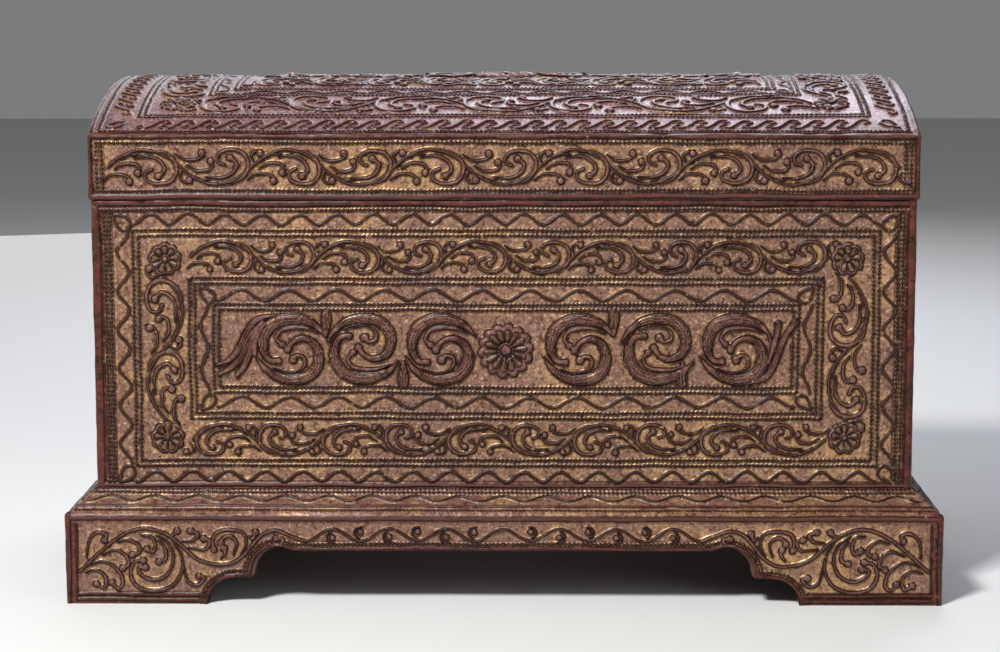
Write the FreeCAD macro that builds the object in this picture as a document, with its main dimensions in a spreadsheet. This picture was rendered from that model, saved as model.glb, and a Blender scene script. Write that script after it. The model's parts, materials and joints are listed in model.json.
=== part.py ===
import FreeCAD, Part
import math
import os
import Sketcher

# Lacquered wooden chest with a coopered lift-off lid on a bracket plinth.
# Millimetres, +Z up, front at -Y. The origin is the centre of the footprint, on the floor.

# Driving sizes, by the piece that carries them
SIZES = {
    "Carcass": {
        "carcass_length": 540,
        "carcass_depth": 300,
        "carcass_height": 192.5,
        "carcass_wall": 12,
        "dovetail_count": 5,
        "pin_width": 11,
        "pin_flare": 3,
        "bottom_board_thickness": 9,
        "bottom_board_lift": 8,
        "bottom_tongue_thickness": 5,
        "bottom_groove_depth": 6,
        "bottom_gap": 0.5,
    },
    "Lip strips inside the rim": {
        "lip_thickness": 5,
        "lip_height": 32,
        "lip_stand": 10,
    },
    "Plinth boards": {
        "plinth_overhang": 19,
        "plinth_height": 54,
        "plinth_wall": 14,
        "foot_length": 93,
        "end_foot_length": 66,
        "foot_cove": 18,
        "nib_length": 11,
        "nib_step": 2.5,
        "apron_cove": 19,
        "cusp_drop": 3,
        "cusp_length": 10,
    },
    "Plinth corner blocks": {
        "block_width": 22,
        "block_lift": 4,
    },
    "Plinth cap": {
        "cap_height": 21,
        "nose_height": 8,
        "nose_radius": 3,
        "cap_seat": 15,
    },
    "Lid": {
        "lid_overhang": 1.5,
        "lip_clearance": 1,
        "lid_rail_height": 41.5,
        "dome_rise": 33,
        "stave_thickness": 9,
        "stave_count": 7,
    },
    "Lacquer rolls and borders": {
        "roll_stand": 1.6,
        "roll_height": 5,
        "roll_bevel": 1.2,
        "seam_margin": 0.6,
        "plinth_border_width": 4.5,
    },
    "Lacquer frames on the faces": {
        "frame_width": 5,
        "frame_stand": 1.6,
        "frame_bevel": 1,
    },
    "Rosettes": {
        "rosette_petals": 14,
        "rosette_stand": 3,
        "boss_radius": 4,
        "boss_stand": 4.5,
        "corner_rosette_petals": 6,
        "corner_rosette_stand": 2.4,
        "corner_boss_radius": 2.6,
        "corner_boss_stand": 3.4,
        "boss_sides": 6,
    },
    "Scrollwork": {
        "scroll_stand": 3,
        "vine_width": 2.8,
        "vine_stand": 1.8,
        "vine_pitch": 37,
        "vine_gap": 1.1,
        "band_gap": 2.5,
    },
    "Lid ornament": {
        "dome_frame_end": 29,
        "dome_frame_side": 25,
        "dome_scroll_band": 41.5,
        "dome_wave_band": 15.5,
        "dome_frame_stand": 1.6,
        "dome_rosette_radius": 11.5,
        "dome_rosette_gap": 2.5,
        "dome_rosette_seat": 0.5,
        "crown_radius": 22,
        "crown_stand": 3.4,
        "crown_boss_radius": 6.5,
        "crown_boss_stand": 4.6,
        "crown_seat": 1,
        "crown_scroll_pitch": 30,
        "crown_scroll_stand": 2.6,
    },
    "Cuts": {
        "overrun": 5,
    },
}

# Which way an arc of an outline bulges, seen along the line of travel
LEFT = 1
RIGHT = -1

# Angles in degrees
QUARTER_TURN = 90
HALF_TURN = 180
FULL_TURN = 360

doc = FreeCAD.newDocument("chest")
sheet = doc.addObject("Spreadsheet::Sheet", "Sizes")
pieces = []


class Size:
    """A size of the chest: its value now, and the sheet formula that gives it."""

    def __init__(self, value, formula):
        self.value = float(value)
        self.formula = formula

    def __add__(self, other):
        other = as_size(other)
        return Size(self.value + other.value, f"({self.formula} + {other.formula})")

    def __sub__(self, other):
        other = as_size(other)
        return Size(self.value - other.value, f"({self.formula} - {other.formula})")

    def __mul__(self, other):
        other = as_size(other)
        return Size(self.value * other.value, f"({self.formula} * {other.formula})")

    def __truediv__(self, other):
        other = as_size(other)
        return Size(self.value / other.value, f"({self.formula} / {other.formula})")

    def __neg__(self):
        return Size(-self.value, f"(0 - {self.formula})")


def as_size(number):
    """Give a plain number the form of a size."""
    return number if isinstance(number, Size) else Size(number, f"({float(number)})")


def root(size):
    """Square root of a size."""
    return Size(math.sqrt(size.value), f"sqrt({size.formula})")


def arctangent(ratio):
    """Angle in degrees that has this tangent."""
    return Size(math.degrees(math.atan(ratio.value)), f"atan({ratio.formula})")


def sine(angle):
    """Sine of an angle in degrees."""
    return Size(math.sin(math.radians(angle.value)), f"sin({angle.formula})")


def cosine(angle):
    """Cosine of an angle in degrees."""
    return Size(math.cos(math.radians(angle.value)), f"cos({angle.formula})")


def cell(name):
    """The size in the sheet that has this name."""
    return Size(sheet.get(name), f"Sizes.{name}")


def write_sheet():
    """Fill the sheet: a heading for each piece, then a name and a number in each row."""
    row = 1
    for heading, rows in SIZES.items():
        sheet.set(f"A{row}", heading)
        row += 1
        for name, number in rows.items():
            sheet.set(f"A{row}", name)
            sheet.set(f"B{row}", str(number))
            sheet.setAlias(f"B{row}", name)
            row += 1
    doc.recompute()


# Objects of the document

def bind(thing, **sizes):
    """Tie properties of an object to sizes."""
    for name, size in sizes.items():
        thing.setExpression(name, as_size(size).formula)


def place(thing, x=0, y=0, z=0, turn=0, axis=(0, 0, 1)):
    """Stand an object at its place, turned by a fixed number of degrees."""
    turned = FreeCAD.Rotation(FreeCAD.Vector(*axis), turn)
    thing.Placement = FreeCAD.Placement(FreeCAD.Vector(), turned)
    for letter, size in zip("xyz", (x, y, z)):
        thing.setExpression(f"Placement.Base.{letter}", as_size(size).formula)
    return thing


def piece(thing, label):
    """Count an object as a sub-part of the chest, under its own name."""
    thing.Label = label
    pieces.append(thing)
    return thing


def box(label, length, depth, height, x, y, z):
    """A plain board or block from its low corner."""
    thing = doc.addObject("Part::Box", label)
    bind(thing, Length=length, Width=depth, Height=height)
    return place(thing, x, y, z)


def body(label):
    """An empty body that may hold several solids."""
    thing = doc.addObject("PartDesign::Body", label)
    thing.AllowCompound = True
    return thing


def sketch(owner, plane):
    """An empty sketch on one of the body's own origin planes."""
    planes = {feature.Role: feature for feature in owner.Origin.OriginFeatures}
    thing = owner.newObject("Sketcher::SketchObject", "outline")
    thing.AttachmentSupport = [(planes[plane], "")]
    thing.MapMode = "FlatFace"
    return thing


def arc_between(start, end, radius, side):
    """The lesser arc from one point to the next that bulges to the given side."""
    chord = end - start
    middle = (start + end) * 0.5
    normal = FreeCAD.Vector(-chord.y, chord.x, 0).normalize() * side
    to_centre = math.sqrt(max(radius ** 2 - (chord.Length / 2) ** 2, 0))
    return Part.Arc(start, middle + normal * (radius - to_centre), end)


def outline(owner, corners):
    """Draw a closed outline whose corners are (x, y), or (x, y, radius, side) before an arc."""
    points = [FreeCAD.Vector(corner[0].value, corner[1].value, 0) for corner in corners]
    starts = []
    ends = []
    for index, corner in enumerate(corners):
        start = points[index]
        end = points[(index + 1) % len(points)]
        if len(corner) == 2:
            edge = owner.addGeometry(Part.LineSegment(start, end))
        else:
            edge = owner.addGeometry(arc_between(start, end, corner[2].value, corner[3]))
            rule = owner.addConstraint(Sketcher.Constraint("Radius", edge, corner[2].value))
            owner.setExpression(f"Constraints[{rule}]", corner[2].formula)
        forward = owner.getPoint(edge, 1).distanceToPoint(start) < owner.getPoint(edge, 2).distanceToPoint(start)
        starts.append((edge, 1 if forward else 2))
        ends.append((edge, 2 if forward else 1))
    for index, (edge, point) in enumerate(starts):
        owner.addConstraint(Sketcher.Constraint("Coincident", *ends[index - 1], edge, point))
        for name, size in zip(("DistanceX", "DistanceY"), corners[index][:2]):
            rule = owner.addConstraint(Sketcher.Constraint(name, -1, 1, edge, point, size.value))
            owner.setExpression(f"Constraints[{rule}]", size.formula)
    return owner


def rectangle(owner, half_width, low, high):
    """Draw a rectangle centred on the sketch's upright axis."""
    return outline(owner, [
        (-half_width, low),
        (half_width, low),
        (half_width, high),
        (-half_width, high),
    ])


def regular_polygon(owner, radius, sides):
    """Draw a polygon of equal sides about the sketch's origin."""
    corners = []
    for number in range(int(sides.value)):
        bearing = as_size(FULL_TURN * number) / sides
        corners.append((radius * sine(bearing), -radius * cosine(bearing)))
    return outline(owner, corners)


def pad(owner, profile, length, midplane=False, flipped=False):
    """Raise a sketch by a length."""
    feature = owner.newObject("PartDesign::Pad", "pad")
    feature.Profile = profile
    feature.Midplane = midplane
    feature.Reversed = flipped
    bind(feature, Length=length)
    doc.recompute()
    return feature


def pocket(owner, profile, length, midplane=False, flipped=False):
    """Cut a sketch by a length, and make sure that it cuts."""
    before = owner.Tip.Shape.Volume
    feature = owner.newObject("PartDesign::Pocket", "pocket")
    feature.Profile = profile
    feature.Midplane = midplane
    feature.Reversed = flipped
    bind(feature, Length=length)
    doc.recompute()
    if not feature.Shape.Volume < before:
        raise RuntimeError(f"{owner.Label}: a pocket cuts nothing")
    return feature


def row_of(owner, feature, profile, axis, length, count):
    """Repeat a feature in a row along an axis of its sketch."""
    pattern = owner.newObject("PartDesign::LinearPattern", "row")
    pattern.Originals = [feature]
    pattern.Direction = (profile, [axis])
    bind(pattern, Length=length, Occurrences=count)
    owner.Tip = pattern
    doc.recompute()
    return pattern


def ring_of(owner, feature, profile, count):
    """Repeat a feature in a ring about its sketch's origin."""
    pattern = owner.newObject("PartDesign::PolarPattern", "ring")
    pattern.Originals = [feature]
    pattern.Axis = (profile, ["N_Axis"])
    pattern.Angle = FULL_TURN
    bind(pattern, Occurrences=count)
    owner.Tip = pattern
    doc.recompute()
    return pattern


def edges_where(feature, test):
    """Names of a feature's edges whose box passes a test."""
    edges = feature.Shape.Edges
    return [f"Edge{index}" for index, edge in enumerate(edges, 1) if test(edge.BoundBox)]


write_sheet()

# Sizes that several pieces share
wall = cell("carcass_wall")
half_length = cell("carcass_length") / 2
half_depth = cell("carcass_depth") / 2
inner_half_length = half_length - wall
inner_half_depth = half_depth - wall
carcass_height = cell("carcass_height")
groove_depth = cell("bottom_groove_depth")
plinth_half_length = half_length + cell("plinth_overhang")
plinth_half_depth = half_depth + cell("plinth_overhang")
plinth_height = cell("plinth_height")
carcass_base = plinth_height + cell("cap_height")
carcass_top = carcass_base + carcass_height
overrun = cell("overrun")

lid_half_length = half_length + cell("lid_overhang")
lid_half_depth = half_depth + cell("lid_overhang")
lid_wall = wall + cell("lid_overhang") - cell("lip_clearance")
rail_height = cell("lid_rail_height")
dome_rise = cell("dome_rise")
dome_radius = (lid_half_depth * lid_half_depth + dome_rise * dome_rise) / (dome_rise * 2)
dome_inner_radius = dome_radius - cell("stave_thickness")
dome_centre = rail_height + dome_rise - dome_radius
dome_half_angle = arctangent(dome_rise / lid_half_depth) * 2
lid_spring = carcass_top + rail_height


# Carcass: dovetailed corners, and a bottom board in a groove

def front_or_back_board(label, turn):
    """Board with a tail between every two sockets, its inner face on the body's XZ plane."""
    board = piece(body(label), label)
    face = rectangle(sketch(board, "XZ_Plane"), half_length, as_size(0), carcass_height)
    pad(board, face, wall)
    pitch = carcass_height / cell("dovetail_count")
    narrow = cell("pin_width") / 2
    wide = narrow + cell("pin_flare")
    sockets = sketch(board, "XZ_Plane")
    for side in (1, -1):
        outline(sockets, [
            (half_length * side, pitch / 2 - narrow),
            (half_length * side, pitch / 2 + narrow),
            (inner_half_length * side, pitch / 2 + wide),
            (inner_half_length * side, pitch / 2 - wide),
        ])
    first = pocket(board, sockets, wall, flipped=True)
    run = carcass_height - pitch
    row_of(board, first, sockets, "V_Axis", run, cell("dovetail_count"))
    lift = cell("bottom_board_lift")
    groove = rectangle(
        sketch(board, "XZ_Plane"), inner_half_length + groove_depth, lift, lift + cell("bottom_tongue_thickness"))
    pocket(board, groove, groove_depth, flipped=True)
    place(board, y=inner_half_depth if turn else -inner_half_depth, z=carcass_base, turn=turn)


def end_board(label, turn):
    """Board with pins at both ends, its inner face on the body's YZ plane."""
    board = piece(body(label), label)
    face = rectangle(sketch(board, "YZ_Plane"), inner_half_depth, as_size(0), carcass_height)
    pad(board, face, wall, flipped=True)
    pitch = carcass_height / cell("dovetail_count")
    narrow = cell("pin_width") / 2
    wide = narrow + cell("pin_flare")
    pins = outline(sketch(board, "XZ_Plane"), [
        (-wall, pitch / 2 - narrow),
        (-wall, pitch / 2 + narrow),
        (as_size(0), pitch / 2 + wide),
        (as_size(0), pitch / 2 - wide),
    ])
    first = pad(board, pins, half_depth * 2, midplane=True)
    row_of(board, first, pins, "V_Axis", carcass_height - pitch, cell("dovetail_count"))
    lift = cell("bottom_board_lift")
    groove = rectangle(
        sketch(board, "YZ_Plane"), inner_half_depth + groove_depth, lift, lift + cell("bottom_tongue_thickness"))
    pocket(board, groove, groove_depth)
    place(board, x=inner_half_length if turn else -inner_half_length, z=carcass_base, turn=turn)


def bottom_board():
    """Raised panel with a tongue all round that sits in the boards' groove."""
    board = piece(body("carcass_bottom_board"), "carcass_bottom_board")
    for margin, thickness in (
            (groove_depth, cell("bottom_tongue_thickness")),
            (-cell("bottom_gap"), cell("bottom_board_thickness"))):
        reach = inner_half_depth + margin
        pad(board, rectangle(sketch(board, "XY_Plane"), inner_half_length + margin, -reach, reach), thickness)
    place(board, z=carcass_base + cell("bottom_board_lift"))


def carcass():
    """The four dovetailed boards and the bottom board in their groove."""
    front_or_back_board("carcass_front_board", 0)
    front_or_back_board("carcass_back_board", HALF_TURN)
    end_board("carcass_left_end_board", 0)
    end_board("carcass_right_end_board", HALF_TURN)
    bottom_board()


def lip_strips():
    """Strips inside the rim that stand up into the lid and keep it in place."""
    thick = cell("lip_thickness")
    height = cell("lip_height")
    base = carcass_top + cell("lip_stand") - height
    side_depth = (inner_half_depth - thick) * 2
    for name, y in (("front", -inner_half_depth), ("back", inner_half_depth - thick)):
        strip = box(f"lip_{name}_strip", inner_half_length * 2, thick, height, -inner_half_length, y, base)
        piece(strip, f"lip_{name}_strip")
    for name, x in (("left", -inner_half_length), ("right", inner_half_length - thick)):
        strip = box(f"lip_{name}_strip", thick, side_depth, height, x, thick - inner_half_depth, base)
        piece(strip, f"lip_{name}_strip")


# Plinth: mitred bracket-foot boards, corner blocks and a mitred sloping cap

PLINTH_SIDES = (
    ("front", plinth_half_length, plinth_half_depth, cell("foot_length"), 0),
    ("back", plinth_half_length, plinth_half_depth, cell("foot_length"), HALF_TURN),
    ("left", plinth_half_depth, plinth_half_length, cell("end_foot_length"), -QUARTER_TURN),
    ("right", plinth_half_depth, plinth_half_length, cell("end_foot_length"), QUARTER_TURN),
)


def mitred(owner, half, distance, width):
    """Plan of a side of a mitred frame, its outer edge at a distance in front of the origin."""
    return outline(sketch(owner, "XY_Plane"), [
        (-half, -distance),
        (half, -distance),
        (half - width, width - distance),
        (width - half, width - distance),
    ])


def arch(owner, half, foot, margin):
    """Opening between two bracket feet: a cove, a nib, a second cove and a cusp on each side.

    With a margin the outline runs that far into the board.
    """
    cove = cell("foot_cove")
    high_cove = cell("apron_cove")
    foot_edge = half - foot
    nib_edge = foot_edge - cove - cell("nib_length")
    cusp_edge = nib_edge - cell("nib_step") - high_cove
    cove_top = cove + cell("nib_step")
    drop_edge = cusp_edge - cell("cusp_length")
    crown = cove_top + high_cove
    rest = cell("nib_step") - margin
    wide = high_cove + margin
    shoulder = cusp_edge + root(wide * wide - rest * rest)
    level = cove + margin
    corners = [
        (-foot_edge - margin, as_size(0), cove + margin, LEFT),
        (cove - foot_edge, level),
    ]
    if margin.value:
        corners += [(-shoulder, level, wide, LEFT)]
    else:
        corners += [(-nib_edge, level), (-cusp_edge - high_cove, cove_top, high_cove, LEFT)]
    corners += [
        (-cusp_edge, crown + margin),
        (-drop_edge, crown + margin - cell("cusp_drop")),
        (drop_edge, crown + margin - cell("cusp_drop")),
    ]
    if margin.value:
        corners += [(cusp_edge, crown + margin, wide, LEFT), (shoulder, level)]
    else:
        corners += [
            (cusp_edge, crown + margin, high_cove, LEFT),
            (cusp_edge + high_cove, cove_top),
            (nib_edge, level),
        ]
    corners += [
        (foot_edge - cove, level, cove + margin, LEFT),
        (foot_edge + margin, as_size(0)),
    ]
    return outline(owner, corners)


def plinth_board(label, half, distance, foot, turn):
    """Mitred board with a bracket foot at each end."""
    board = piece(body(label), label)
    pad(board, mitred(board, half, distance, cell("plinth_wall")), plinth_height)
    opening = arch(sketch(board, "XZ_Plane"), half, foot, as_size(0))
    pocket(board, opening, distance * 2 + overrun, midplane=True)
    place(board, turn=turn)


def plinth_cap(label, half, distance, turn):
    """Mitred moulding: a rounded nose, then a slope up to the foot of the carcass."""
    cap = piece(body(label), label)
    width = cell("plinth_overhang") + cell("cap_seat")
    pad(cap, mitred(cap, half, distance, width), cell("cap_height"))
    nose = cell("nose_radius")
    nose_top = cell("nose_height")
    face = distance - cell("plinth_overhang")
    sky = cell("cap_height") + overrun
    cut = outline(sketch(cap, "YZ_Plane"), [
        (-distance - overrun, sky),
        (-distance - overrun, nose_top - nose),
        (-distance, nose_top - nose, nose, LEFT),
        (nose - distance, nose_top),
        (-face, cell("cap_height")),
        (-face, sky),
    ])
    pocket(cap, cut, half * 2 + overrun, midplane=True)
    place(cap, z=plinth_height, turn=turn)


def corner_blocks():
    """Four glue blocks inside the plinth's corners, under the cap."""
    width = cell("block_width")
    lift = cell("block_lift")
    reach_x = plinth_half_length - cell("plinth_wall")
    reach_y = plinth_half_depth - cell("plinth_wall")
    blocks = []
    for x in (-reach_x, reach_x - width):
        for y in (-reach_y, reach_y - width):
            blocks.append(box("corner_block", width, width, plinth_height - lift, x, y, lift))
    group = doc.addObject("Part::Compound", "plinth_corner_blocks")
    group.Links = blocks
    piece(group, "plinth_corner_blocks")


def plinth():
    """The plinth's boards, cap and blocks."""
    for name, half, distance, foot, turn in PLINTH_SIDES:
        plinth_board(f"plinth_{name}_board", half, distance, foot, turn)
        plinth_cap(f"plinth_{name}_cap", half, distance, turn)
    corner_blocks()


# Lid: two rails, two arched ends and staves over them

def seat_corner(side):
    """Where a stave's inner face meets the joint with the rail."""
    share = dome_inner_radius / dome_radius
    return (lid_half_depth * share * side, dome_centre + (rail_height - dome_centre) * share)


def lid_rail(label, turn):
    """Rail whose top is cut to seat the lowest stave."""
    rail = piece(body(label), label)
    inner = lid_half_depth - lid_wall
    inner_top = dome_centre + root(dome_inner_radius * dome_inner_radius - inner * inner)
    profile = outline(sketch(rail, "YZ_Plane"), [
        (-lid_half_depth, as_size(0)),
        (-lid_half_depth, rail_height),
        (*seat_corner(-1), dome_inner_radius, LEFT),
        (-inner, inner_top),
        (-inner, as_size(0)),
    ])
    pad(rail, profile, (lid_half_length - lid_wall) * 2, midplane=True)
    place(rail, z=carcass_top, turn=turn)


def lid_end(label, turn):
    """Arched end board under the staves."""
    end = piece(body(label), label)
    profile = outline(sketch(end, "YZ_Plane"), [
        (-lid_half_depth, as_size(0)),
        (-lid_half_depth, rail_height),
        (*seat_corner(-1), dome_inner_radius, LEFT),
        seat_corner(1),
        (lid_half_depth, rail_height),
        (lid_half_depth, as_size(0)),
    ])
    pad(end, profile, lid_wall)
    place(end, x=lid_half_length if turn else -lid_half_length, z=carcass_top, turn=turn)


def lid_stave(number):
    """One stave of the dome, with radial joints."""
    count = cell("stave_count")
    first = dome_half_angle * (as_size(2 * number) / count - 1)
    last = dome_half_angle * (as_size(2 * number + 2) / count - 1)
    stave = piece(body(f"lid_stave_{number + 1}"), f"lid_stave_{number + 1}")
    profile = outline(sketch(stave, "YZ_Plane"), [
        (dome_radius * sine(first), dome_radius * cosine(first), dome_radius, LEFT),
        (dome_radius * sine(last), dome_radius * cosine(last)),
        (dome_inner_radius * sine(last), dome_inner_radius * cosine(last), dome_inner_radius, RIGHT),
        (dome_inner_radius * sine(first), dome_inner_radius * cosine(first)),
    ])
    pad(stave, profile, lid_half_length * 2, midplane=True)
    place(stave, z=carcass_top + dome_centre)


def lid():
    """The lid's rails, ends and staves."""
    lid_rail("lid_front_rail", 0)
    lid_rail("lid_back_rail", HALF_TURN)
    lid_end("lid_left_end", 0)
    lid_end("lid_right_end", HALF_TURN)
    for number in range(int(cell("stave_count").value)):
        lid_stave(number)


# Lacquer rolls laid round the chest, and the border along the plinth's bracket outline

def roll(label, half_x, half_y, base):
    """A bevelled lacquer roll right round the chest."""
    stand = cell("roll_stand")
    ring = piece(body(label), label)
    plan = sketch(ring, "XY_Plane")
    for margin in (stand, as_size(0)):
        rectangle(plan, half_x + margin, -half_y - margin, half_y + margin)
    raised = pad(ring, plan, cell("roll_height"))
    outside = (half_x + stand).value, (half_y + stand).value

    def on_outer_edge(limits):
        long_way = math.isclose(abs(limits.YMin + limits.YMax) / 2, outside[1]) and limits.YLength < limits.XLength
        short_way = math.isclose(abs(limits.XMin + limits.XMax) / 2, outside[0]) and limits.XLength < limits.YLength
        return limits.ZLength < limits.DiagonalLength / 2 and (long_way or short_way)

    bevel = ring.newObject("PartDesign::Chamfer", "bevel")
    bevel.Base = (raised, edges_where(raised, on_outer_edge))
    bind(bevel, Size=cell("roll_bevel"))
    doc.recompute()
    place(ring, z=base)


def out_from_middle(turn, distance, across=0):
    """A point of a side: that far out from the chest's middle, and that far across, in plan."""
    across = as_size(across)
    return {
        0: (across, -distance),
        HALF_TURN: (-across, distance),
        -QUARTER_TURN: (-distance, -across),
        QUARTER_TURN: (distance, across),
    }[turn]


# A foot's stem and leaf: shares of the foot's length, of the bracket beyond it, and of the plinth's height
# above the floor, then where the stem of the apron takes over, in shares of the bracket
FOOT_STEM_SHARES = (
    (0.10, 0, 0.42), (0.34, 0, 0.79), (0.60, 0, 0.94), (0.79, 0, 0.78), (0.95, 0, 0.56), (1, 0.26, 0.52),
    (1, 0.52, 0.78), (1, 0.78, 0.915))
FOOT_LEAF_SHARES = (
    (0.76, 0, 0.82), (0.82, 0, 0.52), (0.74, 0, 0.24), (0.59, 0, 0.18), (0.47, 0, 0.30), (0.49, 0, 0.48),
    (0.58, 0, 0.52))
STEM_END_SHARE = 1.07


def plinth_vine(half, foot):
    """Vine along the apron that ends in a stem and a leaf on each foot, drawn in the XY plane."""
    bracket = cell("foot_cove") + cell("nib_length") + cell("nib_step") + cell("apron_cove") + cell("cusp_length")
    crown = cell("foot_cove") + cell("nib_step") + cell("apron_cove") - cell("cusp_drop") + cell("plinth_border_width")
    row = ((crown + plinth_height) / 2).value
    sway = ((plinth_height - crown - cell("vine_width")) / 2 - cell("vine_gap")).value
    reach = (half - foot - bracket * STEM_END_SHARE).value
    waves = 2 * int(reach / cell("vine_pitch").value) + 1
    half_wave = reach / waves

    def spot(side, shares):
        on_foot, beyond, up = shares
        inward = foot * on_foot + bracket * beyond
        return FreeCAD.Vector(side * (half - inward).value, plinth_height.value * up, 0)

    crests = []
    for number in range(-waves, waves + 1):
        crests.append(FreeCAD.Vector(number * half_wave, row + (-sway if number % 2 else sway), 0))
    left = [spot(-1, shares) for shares in FOOT_STEM_SHARES]
    right = [spot(1, shares) for shares in reversed(FOOT_STEM_SHARES)]
    half_width = cell("vine_width").value / 2
    stand = cell("vine_stand").value
    raised = [ribbon(list(stroke(left + crests + right, half_width)), stand)]
    for side in (-1, 1):
        leaf = [spot(side, shares) for shares in FOOT_LEAF_SHARES]
        raised.append(ribbon(list(stroke(leaf, half_width)), stand))
    return raised[0].multiFuse(raised[1:]).Solids


def plinth_border(label, half, distance, foot, turn):
    """Flat lacquer border along the opening between the feet, and the vine above it."""
    border = body("border")
    pad(border, arch(sketch(border, "XZ_Plane"), half, foot, cell("plinth_border_width")), cell("roll_stand"))
    opening = arch(sketch(border, "XZ_Plane"), half, foot, as_size(0))
    pocket(border, opening, cell("roll_stand"), flipped=True)
    place(border, *out_from_middle(turn, distance), turn=turn)
    group = doc.addObject("Part::Compound", label)
    group.Links = [border, stand_up("vine", plinth_vine(half, foot), distance, as_size(0), turn)]
    piece(group, label)


def rolls():
    """Every roll and border."""
    height = cell("roll_height")
    margin = cell("seam_margin")
    roll("carcass_foot_roll", half_length, half_depth, carcass_base)
    roll("carcass_rim_roll", half_length, half_depth, carcass_top - margin - height)
    roll("lid_rim_roll", lid_half_length, lid_half_depth, carcass_top + margin)
    roll("lid_shoulder_roll", lid_half_length, lid_half_depth, lid_spring - height)
    roll("plinth_nose_roll", plinth_half_length, plinth_half_depth, plinth_height)
    for name, half, distance, foot, turn in PLINTH_SIDES:
        plinth_border(f"plinth_{name}_border", half, distance, foot, turn)


# Ornament on the four faces of the carcass

# Layout of a face, in shares of the carcass's height
FACE_SHARES = {
    "side": 0.104,
    "height": 0.836,
    "drop": 0.013,
    "scroll_band_width": 0.197,
    "scroll_band_height": 0.174,
    "wave_band": 0.08,
    "rosette": 0.099,
    "corner_rosette": 0.06,
}

face_layout = {name: carcass_height * share for name, share in FACE_SHARES.items()}
frame_middle = carcass_base + carcass_height / 2 - face_layout["drop"]

FACES = (
    ("front", half_length, half_depth, 0),
    ("back", half_length, half_depth, HALF_TURN),
    ("left", half_depth, half_length, -QUARTER_TURN),
    ("right", half_depth, half_length, QUARTER_TURN),
)


def on_face(thing, distance, turn, across=0, up=0):
    """Stand an object that is drawn on the XZ plane on a face of the carcass."""
    x, y = out_from_middle(turn, distance, across)
    return place(thing, x=x, y=y, z=frame_middle + up, turn=turn)


def frame_sizes(half):
    """Half length and half height of each of the three frames of a face, to the outside."""
    wide = half - face_layout["side"]
    high = face_layout["height"] / 2
    yield wide, high
    wide = wide - face_layout["scroll_band_width"]
    high = high - face_layout["scroll_band_height"]
    yield wide, high
    yield wide - face_layout["wave_band"], high - face_layout["wave_band"]


def scroll_band(half):
    """Half length and half height of the middle line of a face's scroll band, and the band's height."""
    (outer_wide, outer_high), (inner_wide, inner_high), _ = frame_sizes(half)
    room = outer_high - cell("frame_width") - inner_high
    return (outer_wide - cell("frame_width") + inner_wide) / 2, inner_high + room / 2, room


def face_frames(label, half, distance, turn):
    """Three nested bevelled frames, one inside the other."""
    frames = piece(body(label), label)
    stand = cell("frame_stand")
    plan = sketch(frames, "XZ_Plane")
    for wide, high in frame_sizes(half):
        for inset in (as_size(0), cell("frame_width")):
            rectangle(plan, wide - inset, inset - high, high - inset)
    raised = pad(frames, plan, stand)
    bevel = frames.newObject("PartDesign::Chamfer", "bevel")
    bevel.Base = (raised, edges_where(raised, lambda limits: math.isclose(limits.YMax, -stand.value, abs_tol=1e-3)))
    bind(bevel, Size=cell("frame_bevel"))
    doc.recompute()
    on_face(frames, distance, turn)


# Shares of the spacing of petals, and of a petal's length
PETAL_WIDTH_SHARE = 0.88
FOOT_SHARE = 0.1


def rosette_body(label, radius, petals, stand, boss, boss_stand, plane):
    """Flower of raised blunt petals that grow from under a boss."""
    flower = body(label)
    pad(flower, regular_polygon(sketch(flower, plane), boss, cell("boss_sides")), boss_stand)
    spread = as_size(HALF_TURN) / petals * PETAL_WIDTH_SHARE
    petal = outline(sketch(flower, plane), [
        (as_size(0), radius * FOOT_SHARE),
        (radius * sine(spread), radius * cosine(spread)),
        (-radius * sine(spread), radius * cosine(spread)),
    ])
    first = pad(flower, petal, stand)
    ring_of(flower, first, petal, petals)
    return flower


def face_rosettes(name, half, distance, turn):
    """The rosette in the middle of a face, and the four in the corners of its scroll band."""
    flower = rosette_body(
        f"{name}_rosette", face_layout["rosette"], cell("rosette_petals"), cell("rosette_stand"),
        cell("boss_radius"), cell("boss_stand"), "XZ_Plane")
    on_face(piece(flower, f"{name}_rosette"), distance, turn)
    across, up, _ = scroll_band(half)
    corners = []
    for side in (-1, 1):
        for end in (-1, 1):
            corner = rosette_body(
                f"{name}_corner_rosette", face_layout["corner_rosette"], cell("corner_rosette_petals"),
                cell("corner_rosette_stand"), cell("corner_boss_radius"), cell("corner_boss_stand"),
                "XZ_Plane")
            corners.append(on_face(corner, distance, turn, across * side, up * end))
    group = doc.addObject("Part::Compound", f"{name}_corner_rosettes")
    group.Links = corners
    piece(group, f"{name}_corner_rosettes")


# A running scroll: a stem of half rings, over and under by turns, and a leaf that curls in each
STEM_SHARE = 0.06
LEAF_SHARE = 0.14
CURL_SHARE = 0.7
LEAF_TURN = 410
LEAF_STEPS = 10
STEM_STEPS = 5

# Room beyond the last scroll, and between the stem and the frame, in shares of the scrolls' pitch
TAIL_SHARE = 0.45
HEADROOM_SHARE = 0.04


def polar(middle, radius, degrees):
    """A point at a distance and a bearing from another, in the XY plane."""
    turn = math.radians(degrees)
    return middle + FreeCAD.Vector(math.cos(turn), math.sin(turn), 0) * radius


def ribbon(steps, stand):
    """Raise the band between two edges that are given as pairs of points."""
    edge = [outer for outer, _ in steps] + [inner for _, inner in reversed(steps)]
    wire = Part.makePolygon(edge + edge[:1])
    return Part.Face(wire).extrude(FreeCAD.Vector(0, 0, stand))


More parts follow.
